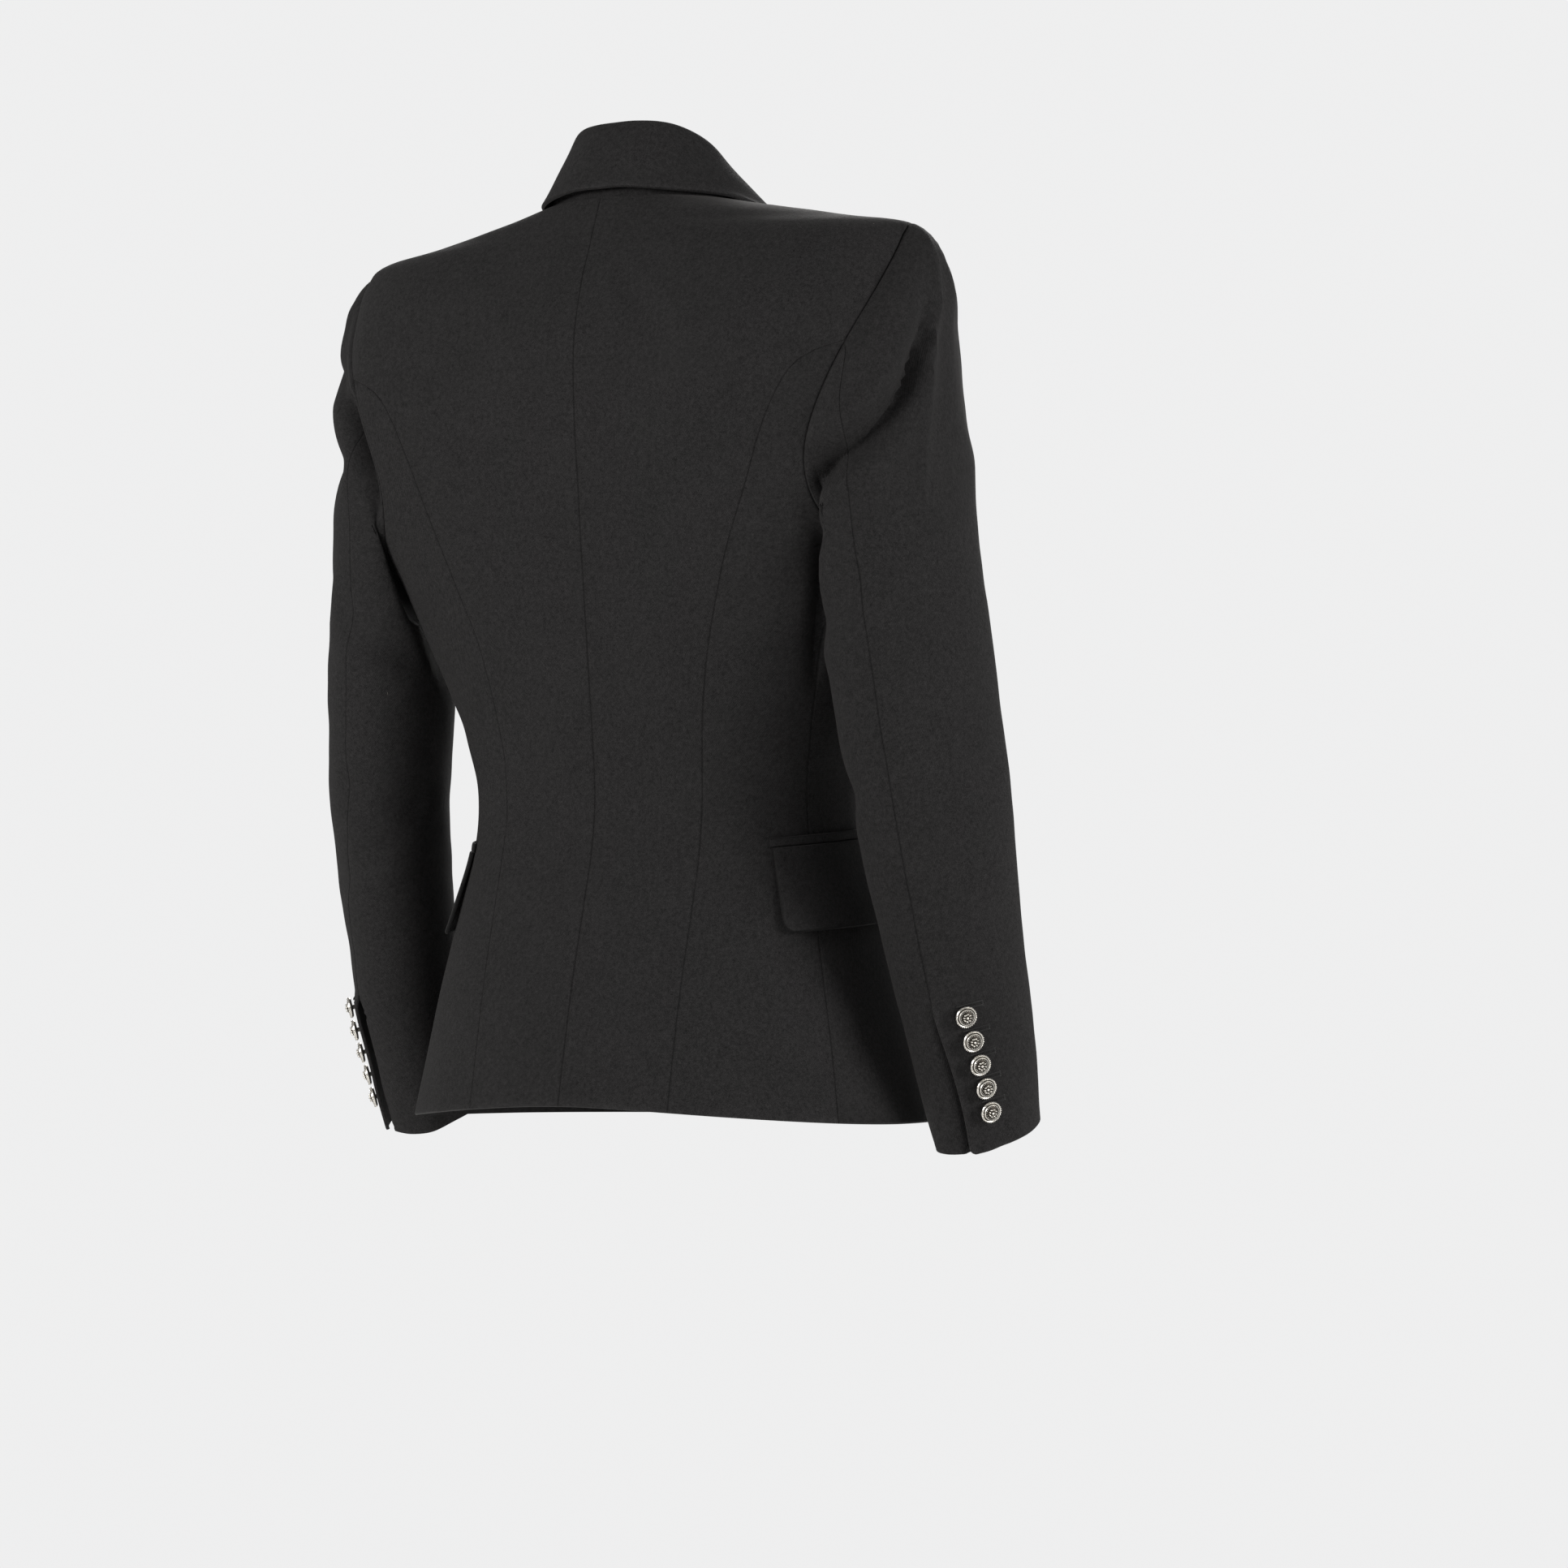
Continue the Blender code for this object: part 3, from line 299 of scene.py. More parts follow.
def seam_drop(distance):
    """How far the cloth dips into a seam, and how its pressed allowance shows beside it."""
    near = np.maximum(distance, 0.0)
    return (SEAM_DEPTH * np.exp(-(near / SEAM_HALF_WIDTH) ** 1.4)
            - ALLOWANCE_STEP * (1 - smooth_step(near, *ALLOWANCE_EDGE)))


def fold_drop(distance, radius=FOLD_RADIUS):
    """How far a folded edge rounds off."""
    inside = np.clip(radius - distance, 0.0, radius)
    return radius - np.sqrt(np.maximum(radius ** 2 - inside ** 2, 0.0))


def edge_drop(distance, fold):
    """How far the cloth drops at an edge: a fold of 1 is a folded edge, of 0 a seam."""
    return seam_drop(distance) * (1 - fold) + fold_drop(distance) * fold


def edge_wear_and_sheen(distance):
    """How much a folded edge is rubbed: wear, and a lighter colour that is a painted sheen."""
    return np.exp(-distance / WEAR_AND_SHEEN_WIDTH)


def spread(width, middle):
    """Distances of a row's points from its start: closest together at both ends."""
    edge = EDGE_STEPS * min(width / (4 * EDGE_STEPS[-1]), 1.0)
    inner = np.linspace(edge[-1], width - edge[-1], middle + 1)
    return np.concatenate((edge[:-1], inner, width - edge[:-1][::-1]))


def lay_out(surface, start, end, level, middle, pull_start, pull_end):
    """Spread a row's points over a surface between two places, drawn in at either end.

    Gives the places, and each point's distance from the start and from the end.
    """
    fine = np.linspace(start, end, 41)
    reached = lengths_along(surface(fine, np.full(41, level)))
    width = max(reached[-1] - pull_start - pull_end, 0.0)
    apart = spread(width, middle)
    if reached[-1] < 1e-7:
        return np.full(len(apart), float(start)), apart, width - apart
    return np.interp(apart + pull_start, reached, fine), apart, width - apart


def lay_rows(surface, starts, ends, levels, middle, pulls=None):
    """Lay out rows; give their places and levels, and the distances from the start and the end."""
    pulls = np.zeros((len(levels), 2)) if pulls is None else pulls
    rows = [lay_out(surface, start, end, level, middle, *pull)
            for start, end, level, pull in zip(starts, ends, levels, pulls)]
    place, from_start, from_end = (np.array(values) for values in zip(*rows))
    level = np.repeat(np.asarray(levels, float)[:, None], place.shape[1], axis=1)
    return place, level, from_start, from_end


def graded(low, high, spacing, at_low=True, at_high=False):
    """Places from low to high, closer together where there is an edge."""
    steps = EDGE_STEPS - EDGE_STEPS[0]
    start, end = (low + steps[-1] if at_low else low), (high - steps[-1] if at_high else high)
    middle = np.linspace(start, end, max(int(round(abs(end - start) / spacing)), 1) + 1)
    first = low + steps[:-1] if at_low else []
    last = (high - steps[:-1])[::-1] if at_high else []
    return np.concatenate((first, middle, last))


# One layer of cloth: its outer and inner points in a grid, their places on the flat cloth, how far each
# is from a seam, which sets the shade painted into the cloth there, and how much a folded edge there is
# worn and given a painted sheen.
Layer = namedtuple("Layer", "outer inner across along seam worn")


def cloth_layer(base, way, side, rise, drops, thickness, across, along, seam, worn):
    """A layer from a surface and its way out on the left half, put on its own side of the body."""
    flip = np.array((side, 1.0, 1.0))
    base, way = base * flip, way * flip
    outer = base + way * (rise - np.maximum.reduce(drops))[..., None]
    inner = base + way * (rise - thickness)[..., None]
    return Layer(outer, inner, -side * across, along, seam, worn)


def row_distance(points):
    """Distance of each row from the first, down the middle of a grid, for every point of it."""
    reached = lengths_along(points[:, points.shape[1] // 2])
    return np.repeat(reached[:, None], points.shape[1], axis=1)


def show(name, data):
    """A new object in the scene with its mesh, lamp or camera."""
    thing = bpy.data.objects.new(name, data)
    bpy.context.scene.collection.objects.link(thing)
    return thing


def fasten(piece, node=None):
    """Let a piece ride on the jacket, and stand for its solid, which is hidden."""
    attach(piece, "root")
    if node:
        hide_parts(node)


def sew(name, layer):
    """Close a layer into a piece of cloth that stands for its solid.

    Its places on the flat cloth are its UV map. The solid has the piece's name without the word cloth.
    """
    rows, columns = layer.outer.shape[:2]
    number = rows * columns
    index = np.arange(number).reshape(rows, columns)
    quads = np.stack((index[:-1, :-1], index[:-1, 1:], index[1:, 1:], index[1:, :-1]), -1).reshape(-1, 4)
    rim = np.concatenate((index[0, :-1], index[:-1, -1], index[-1, :0:-1], index[:0:-1, 0]))
    after = np.roll(rim, -1)
    edge = np.stack((after, rim, rim + number, after + number), -1)
    outer, inner = layer.outer.reshape(-1, 3), layer.inner.reshape(-1, 3)
    one, two, three = quads[len(quads) // 2][:3]
    facing = np.cross(outer[two] - outer[one], outer[three] - outer[one])
    loops = np.concatenate((quads, quads[:, ::-1] + number, edge))
    if facing @ (outer[one] - inner[one]) < 0:
        loops = loops[:, ::-1]
    mesh = bpy.data.meshes.new(name)
    mesh.from_pydata(np.concatenate((outer, inner)).tolist(), [], loops.tolist())
    corners = np.empty(len(mesh.loops), np.int32)
    mesh.loops.foreach_get("vertex_index", corners)
    place = np.stack((layer.across.ravel(), layer.along.ravel()), -1)
    mesh.uv_layers.new(name="Cloth").data.foreach_set("uv", place[corners % number].ravel())
    # The distance that sets the painted seam shade goes on both faces; wear and painted sheen on the outer
    # face only.
    for label, values, behind in (("seam", layer.seam, 1), ("worn", layer.worn, 0)):
        values = np.concatenate((values.ravel(), values.ravel() * behind))
        mesh.attributes.new(label, "FLOAT", "POINT").data.foreach_set("value", values)
    work = bmesh.new()
    work.from_mesh(mesh)
    bmesh.ops.remove_doubles(work, verts=work.verts, dist=MERGE_DISTANCE)
    work.to_mesh(mesh)
    work.free()
    mesh.materials.append(black_wool)
    mesh.shade_smooth()
    mesh.set_sharp_from_angle(angle=SHARP_ANGLE)
    piece = show(name, mesh)
    fasten(piece, name.replace("_cloth", ""))


def body_layer(side, starts, ends, heights, middle, end_fold=0.0, lift=None):
    """A layer of the body between two angles in each row; its end may be a folded edge."""
    angle, height, from_start, from_end = lay_rows(body_surface, starts, ends, heights, middle)
    base, way = body_surface(angle, height), body_way(angle, height)
    along = row_distance(base)
    rise = body_relief(side, angle, height)
    if lift is not None:
        rise = rise + lift(side, height, base[..., 0])
    drops = [seam_drop(from_start), edge_drop(from_end, end_fold), fold_drop(along)]
    # Painted shade darkens the cloth near a seam, but not near a folded edge.
    seam = np.minimum(from_start, from_end + end_fold) + SEAM_SHADE_OFFSET
    # A folded edge is partly worn and partly lighter with a painted sheen.
    worn = edge_wear_and_sheen(along) + end_fold * edge_wear_and_sheen(from_end)
    across = -from_end if end_fold else from_start
    return cloth_layer(base, way, side, rise, drops, CLOTH, across, along, seam, worn)


def feed(tree, sockets, values):
    """Give a node's inputs their values, or link them to other nodes."""
    for name, value in values.items():
        if isinstance(value, bpy.types.NodeSocket):
            tree.links.new(value, sockets[name])
        else:
            sockets[name].default_value = value


def put(tree, kind, inputs=(), **settings):
    """Add a node with its settings and inputs. A kind of the tree's own sort goes without its prefix."""
    if "Node" not in kind:
        kind = ("GeometryNode" if tree.type == "GEOMETRY" else "ShaderNode") + kind
    node = tree.nodes.new(kind)
    for setting, value in settings.items():
        setattr(node, setting, value)
    feed(tree, node.inputs, dict(inputs))
    return node


def reckon(tree, operation, *values):
    """A Math node's result."""
    return put(tree, "ShaderNodeMath", dict(enumerate(values)), operation=operation).outputs[0]


def times(tree, one, other):
    return reckon(tree, "MULTIPLY", one, other)


def times_plus(tree, one, other, more):
    return reckon(tree, "MULTIPLY_ADD", one, other, more)


def noise(tree, place, scale, detail=2.0):
    """The outputs of a Noise Texture."""
    return put(tree, "TexNoise", {"Vector": place, "Scale": scale, "Detail": detail}).outputs


def bump(tree, height, strength, distance):
    return put(tree, "Bump", {"Height": height, "Strength": strength, "Distance": distance}).outputs[0]


def new_tree(sort, name, inputs, outputs):
    """An empty node group. An input is given by its value, or by its kind where it has none."""
    tree = bpy.data.node_groups.new(name, sort)
    for label, value in inputs.items():
        kind = value if isinstance(value, str) else "Int" if isinstance(value, int) else "Float"
        socket = tree.interface.new_socket(label, in_out="INPUT", socket_type="NodeSocket" + kind)
        if value is not kind:
            socket.default_value = value
    for label, kind in outputs.items():
        tree.interface.new_socket(label, in_out="OUTPUT", socket_type="NodeSocket" + kind)
    return tree, tree.nodes.new("NodeGroupInput").outputs, tree.nodes.new("NodeGroupOutput").inputs


def effect(name, inputs, *outputs):
    """An empty shader group on a place in metres, with numbers for outputs."""
    return new_tree("ShaderNodeTree", name, inputs, dict.fromkeys(outputs, "Float"))


def twill_effect():
    """Slanting ribs of a fine twill, on the cloth's flat places in metres."""
    tree, given, result = effect("twill_weave", {"Place": "Vector", "Pitch": 0.0011, "Slope": 0.95},
                                 "Height", "Shade")
    across, along = put(tree, "SeparateXYZ", {0: given["Place"]}).outputs[:2]
    stray = reckon(tree, "SUBTRACT", noise(tree, given["Place"], 160.0)["Fac"], 0.5)
    cosine, sine = reckon(tree, "COSINE", given["Slope"]), reckon(tree, "SINE", given["Slope"])
    slanted = times_plus(tree, across, sine, times(tree, along, times(tree, cosine, -1.0)))
    turns = reckon(tree, "DIVIDE", times_plus(tree, stray, 0.0016, slanted), given["Pitch"])
    rib = reckon(tree, "SINE", times(tree, turns, 2 * math.pi))
    picks = reckon(tree, "SINE", times(tree, reckon(tree, "DIVIDE", along, given["Pitch"]), 2.6 * math.pi))
    height = times_plus(tree, rib, 0.40, times(tree, picks, 0.16))
    feed(tree, result, {"Height": reckon(tree, "ADD", height, 0.5),
                        "Shade": times_plus(tree, height, 0.22, 1.0)})
    return tree


def fibre_effect():
    """Fine fibres and slight cloudiness of worsted wool, on object coordinates."""
    tree, given, result = effect("worsted_fibre", {"Place": "Vector", "Grain": 2.10, "Cloud": 0.30},
                                 "Height", "Shade")
    fine, middling, cloudy = (reckon(tree, "SUBTRACT", noise(tree, given["Place"], scale, 3.0)["Fac"], 0.5)
                              for scale in (1100.0, 380.0, 22.0))
    grain = times_plus(tree, middling, 0.7, fine)
    shade = times_plus(tree, grain, given["Grain"], times(tree, cloudy, given["Cloud"]))
    feed(tree, result, {"Height": reckon(tree, "ADD", grain, 0.5), "Shade": reckon(tree, "ADD", shade, 1.0)})
    return tree


def lint_effect():
    """A few short pale fibres caught in the cloth."""
    tree, given, result = effect("lint", {"Place": "Vector", "Amount": 0.10}, "Mask")
    bent = noise(tree, given["Place"], 210.0)["Color"]
    place = put(tree, "VectorMath", {0: bent, 1: (0.006, 0.006, 0.006), 2: given["Place"]},
                operation="MULTIPLY_ADD")
    narrow = put(tree, "VectorMath", {0: place.outputs[0], 1: (1.0, 1.0, 0.30)}, operation="MULTIPLY")
    cell = put(tree, "TexVoronoi", {"Vector": narrow.outputs[0], "Scale": 62.0}).outputs
    hue = put(tree, "SeparateColor", {"Color": cell["Color"]}).outputs[0]
    feed(tree, result, {"Mask": times(tree, reckon(tree, "LESS_THAN", cell["Distance"], 0.020),
                                      reckon(tree, "LESS_THAN", hue, given["Amount"]))})
    return tree


def seam_shade_and_sheen_effect():
    """Painted shade inside seams; a rubbed folded edge is less rough, and lighter from wear and painted
    sheen.
    """
    tree, given, result = effect("painted_seam_shade_and_sheen", {"Seam": 0.0, "Worn": 0.0}, "Shade", "Roughness")
    # Painted shade: within 1.6 mm of a seam the cloth darkens to 22 %.
    painted_seam_shade = put(tree, "MapRange", {"Value": given["Seam"], "From Max": 0.0016, "To Min": 0.22, "To Max": 1.0})
    # A rubbed edge is less rough from wear, and lighter in colour, partly from wear and partly as painted
    # sheen.
    clipped_wear_and_sheen = reckon(tree, "MINIMUM", given["Worn"], 1.0)
    feed(tree, result, {"Shade": times(tree, painted_seam_shade.outputs[0], times_plus(tree, clipped_wear_and_sheen, 0.22, 1.0)),
                        "Roughness": times_plus(tree, clipped_wear_and_sheen, -0.16, 0.80)})
    return tree


def new_finish(name):
    """A new material, its tree, its shader's inputs, and the piece's own coordinates."""
    finish = bpy.data.materials.new(name)
    finish.use_nodes = True
    tree = finish.node_tree
    surface = tree.nodes["Principled BSDF"].inputs
    return finish, tree, surface, put(tree, "TexCoord").outputs["Object"]


def mixed_colour(tree, factor, one, other):
    return put(tree, "Mix", {"Factor": factor, "A": one, "B": other}, data_type="VECTOR").outputs["Result"]


def wool_finish():
    """Black worsted twill: matt, faintly furry, with ribs, fibres, lint, painted seam shade, painted sheen on
    worn edges.
    """
    finish, tree, surface, place = new_finish("black_wool_twill")
    flat = put(tree, "UVMap", uv_map="Cloth").outputs[0]
    # The seam distance sets painted shade; the wear attribute gives wear and a painted sheen.
    seam, worn = (put(tree, "Attribute", attribute_name=name).outputs["Fac"] for name in ("seam", "worn"))
    groups = ((twill_effect, {"Place": flat}), (fibre_effect, {"Place": place}),
              (lint_effect, {"Place": place}), (seam_shade_and_sheen_effect, {"Seam": seam, "Worn": worn}))
    twill, fibre, lint, painted_seam_shade_and_sheen = (put(tree, "Group", inputs, node_tree=group()).outputs
                                    for group, inputs in groups)
    shade = times(tree, times(tree, twill["Shade"], fibre["Shade"]), painted_seam_shade_and_sheen["Shade"])
    dyed = put(tree, "VectorMath", {0: WOOL_COLOUR, "Scale": shade}, operation="SCALE").outputs[0]
    height = reckon(tree, "ADD", twill["Height"], fibre["Height"])
    feed(tree, surface, {"Base Color": mixed_colour(tree, times(tree, lint["Mask"], LINT_COVER), dyed,
                                                    LINT_COLOUR),
                         "Roughness": painted_seam_shade_and_sheen["Roughness"], "Normal": bump(tree, height, 0.55, 0.00022),
                         "Specular IOR Level": 0.15, "Sheen Weight": 0.05, "Sheen Roughness": 0.45,
                         "Sheen Tint": (0.80, 0.78, 0.76, 1.0)})
    return finish


black_wool = wool_finish()
hem_rows = graded(HEM_HEIGHT, ARMHOLE_BOTTOM, POINT_SPACING)[:-1]
hole_steps = np.linspace(ARMHOLE_STEPS, 0, 4 * ARMHOLE_STEPS + 1)
hole_angles, hole_heights = armhole(hole_steps)
shoulder_rows = np.linspace(ARMHOLE_TOP, 0.0, SHOULDER_ROWS + 1)[1:]
back_heights = np.concatenate((hem_rows, hole_heights, shoulder_rows))
back_ends = np.concatenate((back_seam_angle(hem_rows),
                            np.where(hole_steps > SEAM_STEP, back_seam_angle(hole_heights), hole_angles),
                            np.full(SHOULDER_ROWS, 90.0)))
for name, side in SIDES:
    layer = body_layer(side, np.zeros(len(back_heights)), back_ends, back_heights, BACK_POINTS)
    sew("back_cloth_" + name, layer)

# Side back. A narrow curved piece on each side between the curved back seam and the side seam, of the
# same twill, which shapes the waist and ends in a point at the armhole.
SIDE_POINTS = 24
SIDE_SEAM = table(
    "height angle",
    (-0.600, 69.7),
    (-0.490, 70.8),
    (-0.410, 72.8),
    (-0.326, 70.5),
    (-0.280, 69.5),
    (-0.255, 73.0),
    (-0.238, 80.0),
)
beside = hole_steps >= SEAM_STEP
side_heights = np.concatenate((hem_rows, hole_heights[beside]))
side_ends = np.concatenate((smooth_column(SIDE_SEAM, "angle", hem_rows), hole_angles[beside]))
side_starts = np.minimum(back_seam_angle(side_heights), side_ends)
side_starts[-1] = side_ends[-1]
for name, side in SIDES:
    layer = body_layer(side, side_starts, side_ends, side_heights, SIDE_POINTS)
    sew("side_back_cloth_" + name, layer)

# Front. One piece on each side from side seam to front edge, of the same twill; the right one laps over
# the left at the centre, its hem corner is rounded, and its neckline folds back as the lapel.
FRONT_POINTS = 54
OVERLAP = 0.020
GORGE_HEIGHT = -0.080
BREAK_HEIGHT = -0.335
LAP_LIFT = CLOTH + 0.0012
LAP_LIFT_LAPELS = 0.0072
LAPELS_START = (BREAK_HEIGHT - 0.027, BREAK_HEIGHT + 0.003)
LAP_ENDS = (OVERLAP + 0.004, OVERLAP + 0.045)
FRONT_EDGE = table(
    "height across",
    (-0.5952, 0.0760),
    (-0.5940, 0.0600),
    (-0.5905, 0.0440),
    (-0.5840, 0.0290),
    (-0.5725, 0.0130),
    (-0.556, -0.0010),
    (-0.532, -0.0125),
    (-0.500, -OVERLAP),
    (BREAK_HEIGHT - 0.02, -OVERLAP),
    (BREAK_HEIGHT, -OVERLAP + 0.001),
    (GORGE_HEIGHT, 0.0585),
    (-0.060, 0.0640),
    (-0.040, 0.0675),
    (-0.020, 0.0705),
    (0.000, 0.0735),
)


def angle_across(height, across):
    """The angle at which the front of a section lies a given distance from the centre."""
    return np.degrees(np.arctan2(-section_depth(height, across, False), across)) + 90


def front_lift(side, height, across):
    """How far the right front stands off the left one where they lap, more so where lapels start."""
    stack = LAP_LIFT + LAP_LIFT_LAPELS * smooth_step(height, *LAPELS_START)
    return stack * (1 - smooth_step(across, *LAP_ENDS)) * (side < 0)


front_hole = armhole(2 * ARMHOLE_STEPS - hole_steps)[0]
front_starts = np.concatenate((smooth_column(SIDE_SEAM, "angle", hem_rows), front_hole,
                               np.full(SHOULDER_ROWS, 90.0)))
front_ends = angle_across(back_heights, smooth_column(FRONT_EDGE, "across", back_heights))
for name, side in SIDES:
    layer = body_layer(side, front_starts, front_ends, back_heights, FRONT_POINTS, 1.0, front_lift)
    sew("front_cloth_" + name, layer)

# Sleeves. Each is cut in two, an upper and an under sleeve, sewn along the back and the front of the arm
# and set into the armhole; the back seam ends in a vent, where the upper sleeve laps over the under one.
ARM = table(
    "height across depth wide narrow turn tilt",
    (-0.613, 0.2190, -0.064, 0.0388, 0.0312, 60, 22),
    (-0.560, 0.2203, -0.046, 0.0425, 0.0340, 60, 20),
    (-0.515, 0.2195, -0.031, 0.0456, 0.0360, 60, 18),
    (-0.480, 0.2175, -0.022, 0.0485, 0.0375, 60, 15),
    (-0.440, 0.2159, -0.0115, 0.0515, 0.0390, 60, 12),
    (-0.385, 0.2124, -0.0005, 0.0555, 0.0413, 60, 6),
    (-0.320, 0.2058, 0.007, 0.0570, 0.0438, 60, 1),
    (-0.270, 0.2000, 0.011, 0.0575, 0.0453, 60, 0),
)
ARM_TOP = ARM[-1].height
ARM_END = ARM[0].height
ARM_RADIUS = 0.050
SLEEVE_END = {"left": -0.6075, "right": -0.613}
VENT_HEIGHT = -0.512
Twist = namedtuple("Twist", "degrees start_height end_height")
TWISTS = {"left": Twist(26.0, -0.380, -0.500), "right": Twist(11.0, -0.500, -0.600)}
BACK_SEAM_STEP = 7
BACK_SEAM_RISE = 0.9
FRONT_SEAM_STEP = 18
RING_STEPS = 2 * ARMHOLE_STEPS
RING_TURNS = ((0, 90.0), (BACK_SEAM_STEP, 0.0), (ARMHOLE_STEPS, -90.0), (FRONT_SEAM_STEP, -145.0),
              (FRONT_SEAM_STEP + 3, -198.0), (RING_STEPS, -270.0))
SLEEVE_CLEARANCE = 0.005
CLEARANCE_SOFTNESS = 0.004
SLEEVE_RIPPLES = {"left": ((0.00055, 0.075, 11), (0.00016, 0.026, 21)),
                  "right": ((0.00055, 0.075, 12), (0.00016, 0.026, 22))}
VENT_LIFT = 0.0025
VENT_CURL = 0.0018
VENT_TUCK = 0.0036
VENT_RUN = 0.03
VENT_CORNER = 0.005
UNDER_CORNER = 0.009
LAP_STEPS = (BACK_SEAM_STEP - 3.2, BACK_SEAM_STEP - 1.0)
CURL_STEPS = (BACK_SEAM_STEP - 0.9, BACK_SEAM_STEP)
TUCK_STEPS = (BACK_SEAM_STEP + 0.05, BACK_SEAM_STEP + 0.50)
HEAD_LESS_OUT = 0.25
HEAD_LEAVES_BACK = 0.20
HEAD_FALL = 0.22
HEAD_FALL_PIT = 0.48
HEAD_REACH = 0.010
HEAD_REACH_SIDE = 0.012
HEAD_REACH_TOP = 0.023
HEAD_REACH_PIT = 1.7
HEAD_HANG = 0.62
HEAD_HANG_FRONT = 0.26
HEAD_DRAWN_IN = 0.012
HEAD_FORWARD = 0.014
HEAD_CLEARANCE = 0.0012
HEAD_SOFTNESS = 0.0010
HEAD_CLEARED = 0.06
HEAD_AWAY = 0.35
CAP_ROWS = 58
CAP_GRADING = 0.9
ARMHOLE_LAP = 0.0004
ARMHOLE_TURNED_IN = 0.0024
ARMHOLE_SEAM = 1.7
UPPER_POINTS = 50
UNDER_POINTS = 34

# The largest creases are those of the solids; the rest are finer.
SLEEVE_CREASES = {
    "left": table(
        CREASE,
        (-35, -0.205, 66, -0.090, -0.020, 0.011, 0.0085, 0.002),
        (12, -0.120, -24, -0.178, 0.000, 0.0090, 0.0110, 0.0015),
        (50, -0.056, 18, -0.112, 0.000, 0.022, 0.0036, 0.000),
        (10, -0.172, 100, -0.142, 0.000, 0.018, 0.0075, 0.005),
        (-60, -0.300, 20, -0.250, 0.006, 0.013, 0.0034, 0.004),
        (-56, -0.322, 14, -0.276, 0.005, 0.011, -0.0016, 0.004),
        (-70, -0.395, 10, -0.375, 0.004, 0.013, 0.0034, 0.004),
        (70, -0.345, 120, -0.372, 0.004, 0.010, 0.0020, 0.004),
        (-40, -0.430, 30, -0.448, 0.004, 0.010, 0.0017, 0.004),
        (40, -0.250, 96, -0.232, 0.003, 0.012, 0.0020, 0.005),
        (150, -0.392, 216, -0.360, 0.005, 0.010, 0.0032, 0.003),
        (148, -0.406, 215, -0.378, 0.005, 0.008, -0.0016, 0.003),
        (146, -0.420, 214, -0.398, 0.004, 0.009, 0.0026, 0.003),
        (-150, -0.215, -196, -0.150, 0.004, 0.011, 0.0028, 0.004),
    ),
    "right": table(
        CREASE,
        (-33, -0.195, 60, -0.088, 0.0215, 0.0100, 0.0130, 0.001),
        (-20, -0.206, 62, -0.108, 0.0215, 0.009, -0.0034, 0.003),
        (-54, -0.211, -6, -0.187, 0.000, 0.0080, 0.0085, 0.0010),
        (-52, -0.224, -30, -0.238, 0.000, 0.0090, 0.0080, 0.0020),
        (-25, -0.178, 46, -0.078, 0.0140, 0.010, -0.0026, 0.003),
        (-3, -0.153, 25, -0.120, 0.000, 0.0065, 0.0026, 0.001),
        (1, -0.164, 29, -0.129, 0.000, 0.0060, -0.0015, 0.001),
        (4, -0.174, 31, -0.142, 0.002, 0.0065, 0.0021, 0.001),
        (22, -0.108, 48, -0.058, 0.000, 0.010, -0.0020, 0.002),
        (12, -0.110, 36, -0.066, 0.000, 0.008, 0.0014, 0.002),
        (79, -0.046, 52, -0.232, 0.000, 0.0048, -0.0026, 0.0004),
        (75, -0.060, 62, -0.230, 0.000, 0.014, -0.0020, 0.006),
        (90, -0.085, 68, -0.215, 0.000, 0.012, 0.0016, 0.004),
        (98, -0.020, 112, -0.060, 0.000, 0.024, 0.0012, 0.000),
        (116, -0.078, 136, -0.170, 0.000, 0.034, 0.0044, 0.000),
        (-60, -0.290, 15, -0.245, 0.006, 0.013, 0.0034, 0.004),
        (-56, -0.312, 12, -0.270, 0.005, 0.011, -0.0016, 0.004),
        (-70, -0.400, 5, -0.372, 0.004, 0.013, 0.0030, 0.004),
        (34, -0.262, 52, -0.430, 0.004, 0.016, 0.0018, 0.006),
        (62, -0.360, 110, -0.380, 0.004, 0.010, 0.0018, 0.004),
        (-30, -0.452, 26, -0.470, 0.003, 0.009, 0.0014, 0.004),
        (152, -0.386, 216, -0.356, 0.005, 0.010, 0.0032, 0.003),
        (150, -0.400, 214, -0.374, 0.005, 0.008, -0.0016, 0.003),
        (148, -0.414, 212, -0.392, 0.004, 0.009, 0.0026, 0.003),
        (-150, -0.212, -196, -0.148, 0.004, 0.011, 0.0026, 0.004),
    ),
}


def body_reach(depth, height):
    """Half width of the body at a given place from back to front, or 0 outside it."""
    half_width, side, reach, power = section(height, depth > smooth_column(BODY, "side", height))
    inside = np.maximum(1 - np.abs((depth - side) / reach) ** power, 0.0)
    return half_width * inside ** (1 / power)


def clear_of_body(points, clearance, softness):
    """Move points outwards, softly, where they would come nearer to the body than the clearance."""
    least = body_reach(points[..., 1], points[..., 2]) + clearance
    moved = points.copy()
    moved[..., 0] += softness * np.logaddexp(0.0, (least - points[..., 0]) / softness)
    return moved


